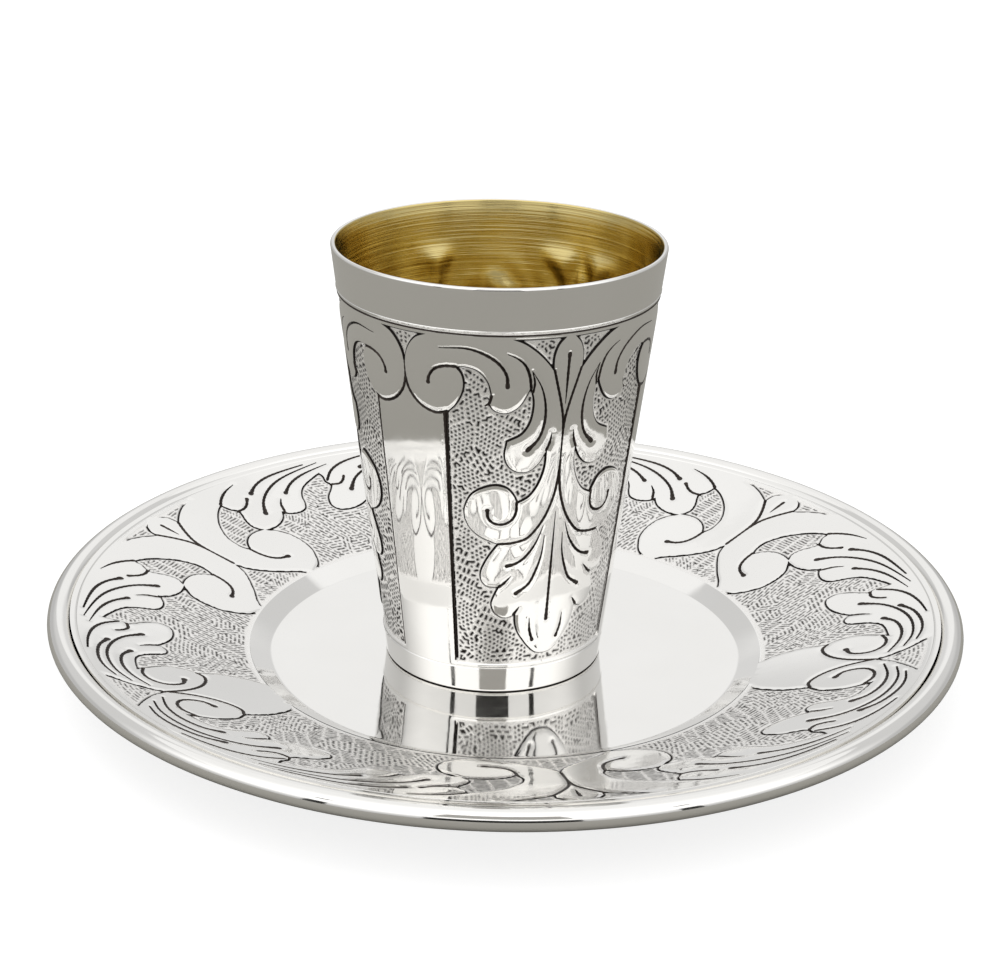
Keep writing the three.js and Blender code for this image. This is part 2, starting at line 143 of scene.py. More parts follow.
# Chased cuts, in millimetres or as shares
FIELD_WALL = 0.2  # run of a field's sloping side
BODY_WIDTH = 0.5  # width of a line before its fat end
BODY_REACHED = 0.55  # share of the run where it gets that width
SWELL_START = 0.8  # share of the run where the fat end starts
BLOW_SWELL = 0.12  # how far a line's width goes up and down with the blows
BLOW_PITCH = 1.1  # from one blow to the next
FULL_DEPTH_WIDTH = 0.2  # half width from which a line is cut to its full depth
TILT_STEP = 0.03  # how far apart the rounded edge is felt for its lean
PUNCH_UNEVEN = 0.03  # height that the ground's points differ by
PUNCH_RANGE = (0.6, 1.1)  # the weakest and the strongest blow
OUTLINE_BLACK = (-0.02, 0.04)  # where the black starts, and how far short of the outline it ends

# Paler tarnish low on the right side, in millimetres: it starts at a place to the right and a height, and
# grows over a run
PALER_FROM = (2, 60)
PALER_RUN = (20, 40)

# Mesh of the chased band, in millimetres or as shares
RING_STEP = 0.5
STROKE_STEP = 0.4
BORDER_STEP = 0.8
ROUND_END = 0.15  # half width from which a line's end is round
ROUND_END_STEPS = 7
SHOULDER_GAPS = (0.22, 0.38, 0.6, 0.95)  # rows of points beside a cut
SHOULDER_CLEARANCE = 0.18
SHOULDER_SPACING = 0.22
EDGE_MARGIN = 0.1
WALL_FOOT_SHARE = 0.93  # least share of its gap that a point keeps in a narrow field
WALL_FOOT_SPACING = 0.12
PLAIN_CLEARANCE = 1.3
ROW_PITCH = 0.866  # of the lattice's rows, as a share of its pitch
LATTICE_REACH = 1.5  # width of the lattice, as a share of the half motif's
LATTICE_WAVE = 0.4
WAVE_LENGTHS = ((2.3, 5.1), (2.9, 6.3))
LATTICE_MARGIN = 0.12
MAT_JITTER = 0.13  # share of the pitch
MAT_CLEARANCE = (0.16, 0.14)  # from a field's outline and from a line
SAME_POINT = 0.05
FAR = 1e9
PLAIN_SEED, PUNCH_SEED, PATCH_SEED, UNEVEN_SEED = 1, 7, 11, 3

# Studio, in metres: the cards show in the silver and nowhere else
BLACK = (0.012, 0.011, 0.01)
GREY = (0.4, 0.39, 0.37)
STAND = ("camera_stand", (0, -0.46, 0.06), (0.26, 0.02, 0.12), BLACK)
STAND_HEAD = ("stand_head", (0, -0.46, 0.37), (0.24, 0.02, 0.3), GREY)
UPRIGHTS_BACK = -0.48
UPRIGHT_WIDTH = 0.055
CARD_THICKNESS = 0.02
UPRIGHTS = ((0.40, 0.095, 0.19), (0.48, 0.565, 0.07))  # place aside, level and height
TABLE_LEVEL = -0.0004
TABLE_TONE = (0.3, 0.3, 0.3)
TABLE_GLOW = 0.8
TABLE_SIZE = 8
CARD_LEVEL = -0.0002
CARD_TONE = (0.275, 0.267, 0.243)
SOFTBOX_PLACE = (-0.45, 0.25, 1.3)
SOFTBOX_SIZE = 1.2
SOFTBOX_WATTS = 4
CAMERA_PLACE = (-0.00229, -0.38968, 0.188894)
CAMERA_PITCH, CAMERA_YAW, CAMERA_ROLL = (math.radians(v) for v in (21.671, 0.125, 1.013))
CAMERA_LENS = 81.06  # in millimetres, as the sensor
CAMERA_SENSOR = 36

# Cup half motif: degrees round from the leaf axis (0) to the panel axis (60), height in mm.
CUP_FIELDS = [
    [  # main field between the scrolls, the leaf and the panel
        [(40.5, 65.3), (36.5, 65.5), (32, 64.8), (28.5, 62.7), (27.2, 60.3)],
        [(27.9, 58.6), (26, 57.4), (22, 57), (18, 58), (15, 60.2), (13.5, 62)],
        [(12, 59.5), (12, 57), (13.2, 54.6), (16, 52.7), (21.3, 51.4)],
        [(22, 48.6), (20.5, 46.7), (17, 45.6), (13, 45.6), (9.5, 46.8), (5.8, 49.8)],
        [(6.2, 45.8), (8.5, 42.6), (12, 40.4), (16.7, 39.2)],
        [(18.3, 40.8), (21, 42.2), (25, 42.8), (30, 42.3), (35, 40.8), (37.8, 38), (37.6, 36)],
        [(35.5, 34.2), (31.5, 32.7), (26, 31.6), (23.5, 31.2)],
        [(26.5, 29.4), (29.5, 27.2), (31.2, 25.2), (30.8, 23.6), (28.5, 22.6), (23, 22.4)],
        [(25, 20.6), (26.3, 18.8), (25, 17.1), (21, 16), (17.5, 16.3), (15.3, 16.8)],
        [(15, 14.8), (13.6, 12.9), (11, 11.2), (8, 9.6), (4, 8.2), (-2, 7.8)],
        [(-2, 5.8)],
        [(43.7, 5.8)],
        [(43.9, 30), (44, 56.6)],
        [(41, 58), (38.6, 60), (37.6, 62), (38.3, 64), (40.5, 65.3)],
    ],
    [  # corner field between the bud and the scroll
        [(1.6, 70.7), (4, 69.3), (5.3, 67.3), (5.4, 65.6), (5.1, 64.2)],
        [(8.5, 66.4), (12.5, 68.4), (17, 70), (20.5, 70.7)],
    ],
    [  # corner field between two scrolls, over the panel
        [(62, 63.5), (60, 64.4), (59.2, 66.2), (57.4, 68.2), (54.5, 69.8), (50.5, 70.7)],
        [(62, 70.7)],
    ],
]
# Chased lines: the widths in mm are at the first and the last knot.
CUP_LINES = [
    ((0.45, 0.5), [(5.2, 64.6), (3.9, 62.2), (2, 58.8), (0.5, 55.5), (0, 53), (0, 46),
                   (0.8, 42), (2, 39.5), (4.5, 36.5), (8, 34), (12, 32.2), (18, 31.4), (24, 31.2)]),
    ((0.5, 0.5), [(60.3, 65), (60, 62), (58.3, 59.4), (54, 57.2), (48, 56.2), (43.8, 56.7)]),
    ((0.5, 0.75), [(40, 65.3), (44, 65.2), (48, 64.4), (50.3, 62.8), (50.6, 61.8)]),
    ((0.5, 0.12), [(13.4, 61.6), (14.2, 64), (16, 66), (19, 67.3), (22, 68)]),
    ((0.75, 0.12), [(21.8, 61.9), (22.2, 64), (25, 66.2), (30, 67.9), (36, 68.8), (46, 68.5)]),
    ((0.4, 0.12), [(12.6, 60.8), (12.2, 62.6), (13.3, 64.8)]),
    ((0.12, 0.9), [(13, 64.6), (9.5, 61.5), (7.7, 58), (7.7, 54.8), (9.6, 51.8), (13.6, 49.7)]),
    ((0.5, 0.12), [(6.2, 49.5), (5, 51), (4.5, 52.8)]),
    ((0.4, 0.3), [(27.3, 60.2), (28, 58.9), (29.6, 58.2)]),
    ((0.5, 0.75), [(16.9, 39.5), (17, 37.6), (18.5, 36.1), (22, 35.2), (26, 35.4), (28.3, 36.5),
                   (28.6, 37.9)]),
    ((0.12, 0.8), [(5, 34.5), (8, 31), (12, 28.5), (16, 27.2), (20, 26.7)]),
    ((0.12, 0.8), [(4.2, 32.5), (5, 28.5), (7, 25.5), (10, 22.8), (15.5, 21)]),
    ((0.5, 0.12), [(23.4, 22.4), (21.5, 23), (18, 24.6)]),
    ((0.5, 0.12), [(16.2, 16.6), (15.2, 17.2), (13.6, 18.2)]),
    ((0.12, 0.65), [(8.5, 15.6), (8, 13), (6.4, 10.9)]),
    ((0.75, 0.12), [(0, 67.4), (0, 58)]),
    ((0.12, 0.75), [(0, 37), (0, 15)]),
    ((0.75, 0.3), [(44.5, 56.4), (44.3, 30), (44.1, 6.2)]),
]

# Saucer half motif: degrees round from the leaf axis (0) to the panel axis (60), radius in mm.
SAUCER_FIELDS = [
    [  # main field between the leaf, the panel scroll and the well
        [(13, 48.75), (16.2, 50.3), (18, 52.8), (18.8, 55), (18.6, 58), (17.4, 61), (14.6, 63.7)],
        [(17, 63.6), (19.2, 64.3), (20.6, 65.4), (21.6, 67)],
        [(22.6, 66), (24.5, 65.4), (26.4, 65.9), (27.3, 67.4), (28, 69.7), (29.6, 72.2),
         (34.6, 75.6)],
        [(34.9, 73.8), (34.7, 72.4), (35.3, 71), (34.6, 69.6), (33, 67.4), (32.3, 65), (33, 63.4),
         (35, 62.8), (38, 63.4), (40.4, 65.2), (41.5, 66.6)],
        [(41.9, 65.3), (42.9, 64.6), (44.2, 65), (45, 66.6), (45.8, 69), (47.4, 71), (52.2, 72.2)],
        [(51.2, 70), (50.2, 67.4), (49.9, 65), (50.2, 63), (51.4, 60.8)],
        [(51.1, 58.5), (50.9, 56.5), (51.3, 54), (52.2, 51.1), (53.9, 48.75)],
    ],
    [  # field under the leaf, between the two great scrolls
        [(-2, 60.5), (0, 59.6), (0.8, 57.6), (1.9, 56), (3.9, 54.1), (6.5, 52.2), (9.4, 50.6),
         (11.9, 48.75)],
        [(-2, 48.75)],
    ],
    [  # field inside the great scroll
        [(13, 74.8), (13.4, 72.8), (14.5, 71.1), (14.2, 69.6), (13.5, 67.6), (13.4, 65.6),
         (14.5, 63.9)],
        [(12.4, 64.1), (10, 63.6), (8.2, 62.3), (6.9, 60.3)],
        [(6, 62.4), (5.9, 64.8), (6.5, 67), (7.6, 69.2), (9.1, 71.3), (11, 73.3), (13, 74.8)],
    ],
    [  # corner field beside the bud
        [(0.8, 79.3), (2, 78.3), (2.7, 77), (2.8, 75)],
        [(4.4, 76.4), (6.5, 77.9), (9.6, 79.3)],
    ],
    [  # corner field over the panel
        [(62, 69.5), (60, 70.2), (59, 72.6), (57.4, 75.4), (56, 77.4), (54.6, 79.3)],
        [(62, 79.3)],
    ],
]
SAUCER_LINES = [
    ((0.5, 0.5), [(2.9, 75.4), (1.3, 72), (0.4, 69.5), (0, 66.5), (0, 60)]),
    ((0.5, 0.9), [(6.8, 61), (7.2, 58.6), (8.2, 56.6), (9.8, 55.4), (12, 54.9)]),
    ((0.6, 0.15), [(12.9, 74.6), (14.2, 76), (16.2, 77.5), (18.8, 78.7)]),
    ((0.5, 0.8), [(14.3, 71.1), (15.7, 71.2), (17, 72), (18.2, 73.5)]),
    ((0.9, 0.2), [(18.3, 67.8), (20.2, 71), (23, 73.8), (26.7, 76.1), (35.5, 78.8)]),
    ((0.8, 0.15), [(25.7, 71.7), (28, 74), (30.8, 75.7), (37, 77.8)]),
    ((0.9, 0.3), [(19.8, 74.5), (22, 76.4), (25, 77.8), (32.9, 79)]),
    ((0.2, 0.5), [(23.8, 70.4), (22.8, 68.8), (22.3, 67.2), (22, 66.4)]),
    ((0.3, 0.5), [(46.2, 79.2), (42.3, 78.4), (39.2, 77.2), (36.9, 75.4), (35, 72.6)]),
    ((0.5, 0.5), [(35.1, 71.1), (36.8, 70.9), (37.9, 71.9), (38.5, 73.1)]),
    ((0.2, 0.5), [(42.8, 69.3), (42, 67.6), (41.6, 66.2)]),
    ((0.9, 0.3), [(42.3, 75), (44.9, 76.9), (49, 78), (52, 77.9), (54.8, 77)]),
    ((0.9, 0.3), [(38.2, 68.4), (40.5, 72), (43.9, 74.7), (48, 76.2), (53, 76.2), (56.5, 74.9)]),
    ((0.9, 0.3), [(45.4, 71.4), (47.3, 73.3), (50.6, 74.3), (54, 74), (57.9, 72.3)]),
    ((0.5, 0.5), [(60.1, 71), (59.6, 68), (58.7, 65), (57, 62.2), (54.8, 60.5), (52.8, 60.1),
                  (51.2, 61)]),
    ((0.5, 0.9), [(51.5, 70.8), (53.5, 71.6), (55.4, 71.2), (56.8, 69.6), (57.1, 67.6),
                  (56.4, 65.4), (54.6, 64.4)]),
    ((0.15, 0.6), [(0, 72.8), (0, 76.8)]),
]


def cup_radius(height):
    """The radius of the cup's outer cone in mm."""
    return CUP_BASE_RADIUS + CUP_LEAN * height


def rim_height(radius):
    """The height in mm of the saucer's sloping rim over its well."""
    return COVE_RISE + (radius - COVE_RADIUS) * RIM_SLOPE


def saucer_angle(even):
    """Where the hand work has an evenly divided angle, in degrees."""
    turn = ((np.asarray(even, float) - SAUCER_FIRST_AXIS) / HALF_MOTIF_DEG) % HALF_MOTIFS
    start = np.floor(turn).astype(int) % HALF_MOTIFS
    share = turn - np.floor(turn)
    ease = share * share * (3 - 2 * share)
    drift = np.array(SAUCER_AXIS_DRIFT)
    return even + drift[start] + (drift[(start + 1) % HALF_MOTIFS] - drift[start]) * ease


def curve_through(knots, spacing):
    """A smooth curve through the knots, in steps of about the spacing."""
    points = np.array(knots, float)
    if len(points) < 3:
        steps = max(1, int(np.linalg.norm(points[-1] - points[0]) / spacing))
        return np.linspace(points[0], points[-1], steps + 1)
    ends = np.vstack([2 * points[0] - points[1], points, 2 * points[-1] - points[-2]])
    made = [points[:1]]
    for before, here, there, after in zip(ends, ends[1:], ends[2:], ends[3:]):
        gap_before, gap, gap_after = (
            np.linalg.norm(second - first) ** 0.5
            for first, second in ((before, here), (here, there), (there, after)))
        leaving = ((here - before) / gap_before - (there - before) / (gap_before + gap)
                   + (there - here) / gap) * gap
        arriving = ((there - here) / gap - (after - here) / (gap + gap_after)
                    + (after - there) / gap_after) * gap
        steps = max(1, round(float(np.linalg.norm(there - here)) / spacing))
        share = (np.arange(1, steps + 1) / steps)[:, None]
        made.append(here + leaving * share
                    + (-3 * here + 3 * there - 2 * leaving - arriving) * share ** 2
                    + (2 * here - 2 * there + leaving + arriving) * share ** 3)
    return np.vstack(made)


class Chasing:
    """The drawing of one half motif, in plane millimetres, and the relief that it cuts."""

    def __init__(self, fields, lines, band, outlined, drawing_radius, radius_at, settings):
        self.scale = drawing_radius * DEG
        self.width = HALF_MOTIF_DEG * self.scale
        self.low, self.high = band
        self.outlined = outlined
        self.stretch = lambda y: radius_at(y) / drawing_radius
        self.settings = settings
        self.rings = [self.ring(field) for field in fields]
        self.closed_rings = [np.vstack([ring, ring[:1]]) for ring in self.rings]
        self.strokes = [self.stroke(widths, knots) for widths, knots in lines]

    def ring(self, edges):
        """A closed outline of smooth edges that meet at corners."""
        parts, last = [], None
        for edge in edges:
            knots = ([last] if last else []) + list(edge)
            last = edge[-1]
            plane = [(x * self.scale, y) for x, y in knots]
            made = curve_through(plane, RING_STEP) if len(plane) > 1 else np.array(plane)
            parts.append(made[1:] if parts else made)
        ring = np.vstack(parts)
        if np.linalg.norm(ring[0] - ring[-1]) > SAME_POINT:
            ring = np.vstack([ring, curve_through([ring[-1], ring[0]], RING_STEP)[1:]])
        return ring[:-1]

    def stroke(self, widths, knots):
        """A line's middle path and half widths: it swells at its fat end, and each blow shows."""
        path = curve_through([(x * self.scale, y) for x, y in knots], STROKE_STEP)
        run = np.concatenate([[0], np.cumsum(np.linalg.norm(np.diff(path, axis=0), axis=1))])
        share = run / run[-1]
        small, large = min(widths), max(widths)
        toward = share if widths[1] >= widths[0] else 1 - share
        body = small + (min(large, BODY_WIDTH) - small) * np.minimum(1, toward / BODY_REACHED)
        late = np.clip((toward - SWELL_START) / (1 - SWELL_START), 0, 1)
        swell = max(0.0, large - BODY_WIDTH) * late ** 2
        blows = 1 + BLOW_SWELL * np.sin(run * 2 * math.pi / BLOW_PITCH)
        return path, (body + swell) * blows * self.settings.line_width / 2

    def rows(self, path, half):
        """The two edges of a stroke, with a round end where it is fat."""
        stretch = self.stretch(path[:, 1])
        step = np.gradient(path, axis=0) * np.column_stack([stretch, np.ones_like(stretch)])
        step /= np.linalg.norm(step, axis=1)[:, None]
        side = np.column_stack([-step[:, 1] / stretch, step[:, 0]]) * half[:, None]
        ahead = np.column_stack([step[:, 0] / stretch, step[:, 1]]) * half[:, None]
        left, right = path + side, path - side
        for at, sign in ((-1, 1), (0, -1)):
            if half[at] < ROUND_END:
                continue
            cap = [path[at] + (side[at] * math.cos(angle) + ahead[at] * math.sin(angle)) * sign
                   for angle in np.linspace(0, math.pi, ROUND_END_STEPS)[1:-1]]
            left = np.vstack([left, cap] if sign > 0 else [cap, left])
        return left, right

    def distance(self, points, path, half=None):
        """Least distance in true mm from each point to a path, less its half width."""
        stretch = self.stretch(points[:, 1])[:, None]
        start, run = path[:-1], path[1:] - path[:-1]
        best = np.full(len(points), FAR)
        at_once = 4000
        for first in range(0, len(points), at_once):
            chunk = slice(first, first + at_once)
            away_x = (points[chunk, 0][:, None] - start[:, 0]) * stretch[chunk]
            away_y = points[chunk, 1][:, None] - start[:, 1]
            run_x = run[:, 0] * stretch[chunk]
            run_y = run[:, 1]
            share = (away_x * run_x + away_y * run_y) / (run_x * run_x + run_y * run_y + 1e-12)
            share = np.clip(share, 0, 1)
            gap = np.hypot(away_x - share * run_x, away_y - share * run_y)
            if half is not None:
                gap = gap - (half[:-1] + (half[1:] - half[:-1]) * share)
            best[chunk] = gap.min(axis=1)
        return best

    def inside(self, points, ring):
        """Which points lie inside a closed outline."""
        x, y = points[:, 0][:, None], points[:, 1][:, None]
        start, end = ring, np.roll(ring, -1, axis=0)
        spans = (start[:, 1] > y) != (end[:, 1] > y)
        rise = np.where(end[:, 1] == start[:, 1], 1e-12, end[:, 1] - start[:, 1])
        crossing = (end[:, 0] - start[:, 0]) * (y - start[:, 1]) / rise + start[:, 0]
        return (spans & (x < crossing)).sum(axis=1) % 2 == 1

    def to_field(self, points):
        """Distance to the nearest field outline: positive inside a field."""
        best = np.full(len(points), FAR)
        within = np.zeros(len(points), bool)
        for ring, closed in zip(self.rings, self.closed_rings):
            best = np.minimum(best, self.distance(points, closed))
            within |= self.inside(points, ring)
        return np.where(within, best, -best)

    def to_cuts(self, points):
        """Distances to the nearest field outline, positive in a field, and line, negative in one."""
        line = np.min([self.distance(points, path, half) for path, half in self.strokes], axis=0)
        return self.to_field(points), line

    def rounding(self, field, line):
        """How far a polished face drops towards a cut, in mm."""
        edge = np.clip(np.minimum(-field, line), 0, None)
        near = np.clip(1 - edge / self.settings.round_width, 0, 1)
        return self.settings.round_depth * near ** 2

    def height(self, points):
        """The relief's height in mm over the plain cone, without the matting."""
        settings = self.settings
        field, line = self.to_cuts(points)
        wall = np.clip(field / FIELD_WALL, 0, 1)
        groove = 1 - np.abs(field - FIELD_WALL) / (settings.outline - FIELD_WALL)
        groove = np.clip(groove, 0, 1) * self.has_outline(points)
        height = -settings.sink * wall - settings.groove * groove * (field > 0)
        height -= np.where(field <= 0, self.rounding(field, line), settings.round_depth * (1 - wall))
        depth = np.zeros(len(points))
        for path, half in self.strokes:
            to_middle = self.distance(points, path)
            to_edge = self.distance(points, path, half)
            half_width = to_middle - to_edge
            share = np.clip(-to_edge / np.maximum(half_width, 1e-6), 0, 1)
            depth = np.maximum(depth, share * np.clip(half_width / FULL_DEPTH_WIDTH, 0, 1))
        return height - settings.line_depth * depth

    def has_outline(self, points):
        """Which points lie clear of the borders, where a field's edge has no outline."""
        return (points[:, 1] > self.outlined[0]) & (points[:, 1] < self.outlined[1])

    def normal_tilt(self, points):
        """How the polished faces lean along the hoop and along the slope."""
        step, tilt = TILT_STEP, []
        for offset, true in (((step, 0), step * self.stretch(points[:, 1])), ((0, step), step)):
            ahead, behind = (self.rounding(*self.to_cuts(points + np.array(offset) * sign))
                             for sign in (1, -1))
            tilt.append((behind - ahead) / (2 * true))
        return np.column_stack(tilt)

    def border(self, divisions):
        """The half motif's frame: even steps that the turned surfaces share."""
        across = np.linspace(0, self.width, divisions // HALF_MOTIFS + 1)
        up = np.linspace(self.low, self.high, int((self.high - self.low) / BORDER_STEP) + 1)
        low = np.column_stack([across, np.full_like(across, self.low)])
        high = np.column_stack([across[::-1], np.full_like(across, self.high)])
        right = np.column_stack([np.full_like(up, self.width), up])[1:-1]
        left = np.column_stack([np.zeros_like(up), up])[1:-1][::-1]
        return np.vstack([low, right, high, left])

    def lattice(self, pitch, jitter, seed):
        """A triangular lattice in true mm, gently waved, with each point's two step counts."""
        random = np.random.default_rng(seed)
        rows = int((self.high - self.low) / (pitch * ROW_PITCH)) + 2
        across = int(LATTICE_REACH * self.width / pitch) + 3
        row, column = np.meshgrid(np.arange(rows), np.arange(across), indexing="ij")
        x = (column - across / 2 + (row % 2) / 2) * pitch
        y = self.low + row * pitch * ROW_PITCH
        (across_y, across_x), (up_x, up_y) = WAVE_LENGTHS
        x = x + LATTICE_WAVE * np.sin(y / across_y + x / across_x)
        x = x + random.normal(0, jitter, x.shape)
        y = y + LATTICE_WAVE * np.sin(x / up_x - y / up_y)
        y = y + random.normal(0, jitter, y.shape)
        points = np.column_stack([x.ravel(), y.ravel()])
        points[:, 0] = points[:, 0] / self.stretch(points[:, 1]) + self.width / 2
        steps = np.column_stack([(column - row // 2).ravel(), row.ravel()])
        keep = self.within(points, LATTICE_MARGIN)
        return points[keep], steps[keep]

    def punching(self, points, steps):
        """How deep the punch went at each lattice point, from 0 to about 1, in patches."""
        settings = self.settings
        random = np.random.default_rng(PATCH_SEED)
        count = int(self.width * (self.high - self.low) / settings.patch ** 2)
        middles = random.uniform((0, self.low), (self.width, self.high), (count, 2))
        patch = np.linalg.norm(points[:, None] - middles, axis=2).argmin(axis=1)
        first, second = steps[:, 0], steps[:, 1]
        deep = random.uniform(*PUNCH_RANGE, len(points))
        turn = random.integers(0, 3, count)[patch]
        along = np.choose(turn, [second, first, first + second])
        across = np.choose(turn, [first, second, first])
        broken = (across + along * settings.stagger) % settings.stroke == 0
        strokes = (along % 2 == 0) & ~broken
        dots = (first - second + patch) % 3 == 0
        dotted = random.uniform(0, 1, count)[patch] < settings.dotted
        return np.where(np.where(dotted, dots, strokes), deep, 0)

    def shoulder_points(self):
        """Points beside every cut, which carry the rounded edges."""
        cuts = [(ring, np.zeros(len(ring))) for ring in self.closed_rings] + self.strokes
        points = np.vstack([row for path, half in cuts for gap in SHOULDER_GAPS
                            for row in self.rows(path, half + gap)])
        field, line = self.to_cuts(points)
        keep = (np.minimum(-field, line) > SHOULDER_CLEARANCE) & self.within(points, EDGE_MARGIN)
        return self.thin(points[keep], SHOULDER_SPACING)

    def wall_foot_points(self, gap):
        """Points inside every field, at a gap from its outline."""
        points = np.vstack([row for ring in self.closed_rings
                            for row in self.rows(ring, np.full(len(ring), gap))])
        field, line = self.to_cuts(points)
        clear = (field > gap * WALL_FOOT_SHARE) & (line > SAME_POINT)
        keep = clear & self.within(points, SAME_POINT)
        return self.thin(points[keep], WALL_FOOT_SPACING)

    def plain_points(self):
        """Points over the polished faces, clear of every cut."""
        points, _ = self.lattice(self.settings.plain_pitch, 0.0, PLAIN_SEED)
        field, line = self.to_cuts(points)
        return points[np.minimum(-field, line) > PLAIN_CLEARANCE]

    def punched_points(self):
        """The points of the matted grounds, and how deep each is punched."""
        pitch = self.settings.mat_pitch
        points, steps = self.lattice(pitch, pitch * MAT_JITTER, PUNCH_SEED)
        field, line = self.to_cuts(points)
        keep = (field > self.settings.outline + MAT_CLEARANCE[0]) & (line > MAT_CLEARANCE[1])
        return points[keep], self.punching(points[keep], steps[keep])

    def mesh(self, divisions):
        """The half motif's points, heights, triangles, finish of each face, tarnish and tilts."""
        points, edges = [], []
        count = 0

        def add(row, linked=True, closed=False):
            """Adds a row of points and its edges, and gives the number of its first point."""
            nonlocal count
            size = len(row)
            points.append(row)
            if linked:
                last = size if closed else size - 1
                edges.extend((count + i, count + (i + 1) % size) for i in range(last))
            count += size
            return count - size

        add(self.border(divisions), closed=True)
        for ring in self.rings:
            add(ring, closed=True)
        for path, half in self.strokes:
            left, right = self.rows(path, half)
            first_left, first_right = add(left), add(right)
            edges.append((first_left + len(left) - 1, first_right + len(right) - 1))
            edges.append((first_left, first_right))
            add(path)
        add(self.shoulder_points(), linked=False)
        for gap in (FIELD_WALL, self.settings.outline):
            add(self.wall_foot_points(gap), linked=False)
        add(self.plain_points(), linked=False)
        dots, deep = self.punched_points()
        first_dot = add(dots, linked=False)

        made, _, faces, origin, _, _ = delaunay_2d_cdt(
            [Vector(point) for point in np.vstack(points)], edges, [], 0, 1e-5, True)
        flat = np.array([tuple(point) for point in made])
        height = self.height(flat)
        dark = np.zeros(len(flat))
        random = np.random.default_rng(UNEVEN_SEED)
        for i, sources in enumerate(origin):
            dot = max(sources) - first_dot if len(sources) else -1
            if dot >= 0:
                height[i] += random.uniform(0, PUNCH_UNEVEN) - self.settings.mat_depth * deep[dot]
                dark[i] = min(1.0, deep[dot] * self.settings.tarnish)
        at_field = self.to_field(flat)
        start, short = OUTLINE_BLACK
        outlined = (at_field > start) & (at_field < self.settings.outline - short)
        dark[outlined & self.has_outline(flat)] = 1.0

        triangles = np.array([face for face in faces if len(face) == 3])
        triangles = triangles[self.within(flat[triangles].mean(axis=1), 0)]
        corners = flat[triangles]
        first, second = corners[:, 1] - corners[:, 0], corners[:, 2] - corners[:, 0]
        over = first[:, 0] * second[:, 1] - first[:, 1] * second[:, 0] < 0
        triangles[over] = triangles[over][:, ::-1]
        field, line = self.to_cuts(corners.mean(axis=1))
        finish = np.where(line < 0, LINE, np.where(field > 0, MATTED, SILVER))
        return flat, height, triangles, finish, dark, self.normal_tilt(flat)

    def within(self, points, gap):
        """Which points lie inside the half motif's frame by at least the gap."""
        return ((points[:, 0] > gap) & (points[:, 0] < self.width - gap)
                & (points[:, 1] > self.low + gap) & (points[:, 1] < self.high - gap))

    def thin(self, points, least):
        """Leaves one point in each cell of the least spacing."""
        cells = np.round(points / least).astype(int)
        _, first = np.unique(cells, axis=0, return_index=True)
        return points[np.sort(first)]


def sectors(x, scale):
    """Each half motif round the turn: its number, if it is turned over, and its even angles."""
    for number in range(HALF_MOTIFS):
        over = number % 2 == 1
        even = x / scale
        even = HALF_MOTIF_DEG * (number + 1) - even if over else HALF_MOTIF_DEG * number + even
        yield number, over, even


def lay_round(half, scale, place, fair_at):
    """Lays a half motif round the whole turn, every second one turned over."""
    flat, height, triangles, finish, dark, tilt = half
    verts, faces, fair = [], [], []
    for number, over, even in sectors(flat[:, 0], scale):
        verts.append(place(even, flat[:, 1], height))
        fair.append(fair_at(even, -tilt[:, 0] if over else tilt[:, 0], tilt[:, 1]))
        faces.append((triangles[:, ::-1] if over else triangles) + number * len(flat))
    return (np.concatenate(verts), np.concatenate(faces), np.tile(finish, HALF_MOTIFS),
            np.tile(dark, HALF_MOTIFS), np.concatenate(fair))


def deselect():
    """Leaves edit mode and selects nothing."""
    if bpy.context.object and bpy.context.object.mode != "OBJECT":
        bpy.ops.object.mode_set(mode="OBJECT")
    bpy.ops.object.select_all(action="DESELECT")


def turned(name, profile, divisions, centre, finish, materials):
    """A surface turned ring by ring from a circle; a profile may end on the axis."""
    deselect()
    (radius, level), rest = profile[0], profile[1:]
    bpy.ops.mesh.primitive_circle_add(
        vertices=divisions, radius=radius * MM, fill_type="NOTHING",
        location=(centre[0] * MM, centre[1] * MM, level * MM))
    ring = bpy.context.object
    ring.name = name
    bpy.ops.object.transform_apply(location=True, rotation=True, scale=True)
    bpy.ops.object.mode_set(mode="EDIT")
    bpy.ops.mesh.select_all(action="SELECT")
    middle = (centre[0] * MM, centre[1] * MM, 0)
    for next_radius, next_level in rest:
        bpy.ops.mesh.extrude_edges_move(
            TRANSFORM_OT_translate={"value": (0, 0, (next_level - level) * MM)})
        if next_radius <= 0:
            bpy.ops.mesh.merge(type="CENTER")
            break
        grow = next_radius / radius
        bpy.ops.transform.resize(value=(grow, grow, 1), center_override=middle)
        radius, level = next_radius, next_level
    bpy.ops.object.mode_set(mode="OBJECT")
    for material in materials:
        ring.data.materials.append(material)
    ring.data.polygons.foreach_set("material_index", [finish] * len(ring.data.polygons))
    return ring


def surface(name, verts, faces, finishes, materials):
    """A mesh object from worked out vertices and faces."""
    mesh = bpy.data.meshes.new(name)
    mesh.from_pydata(verts.tolist(), [], faces.tolist())
    for material in materials:
        mesh.materials.append(material)
    mesh.polygons.foreach_set("material_index", np.asarray(finishes, np.int32))
    made = bpy.data.objects.new(name, mesh)
    bpy.context.collection.objects.link(made)
    return made


def close_up(name, parts):
    """Joins the parts on their shared edges into one closed piece with fair polished faces."""
    deselect()
    for part in parts:
        part.select_set(True)
    bpy.context.view_layer.objects.active = parts[0]
    bpy.ops.object.join()
    piece = bpy.context.object
    piece.name = piece.data.name = name
    bpy.ops.object.mode_set(mode="EDIT")
    bpy.ops.mesh.select_all(action="SELECT")
    bpy.ops.mesh.remove_doubles(threshold=0.00001)
    bpy.ops.mesh.normals_make_consistent(inside=False)
    bpy.ops.object.mode_set(mode="OBJECT")
    bpy.ops.object.shade_smooth_by_angle(angle=math.radians(CREASE_DEG))
    set_fair_normals(piece.data)
    return piece


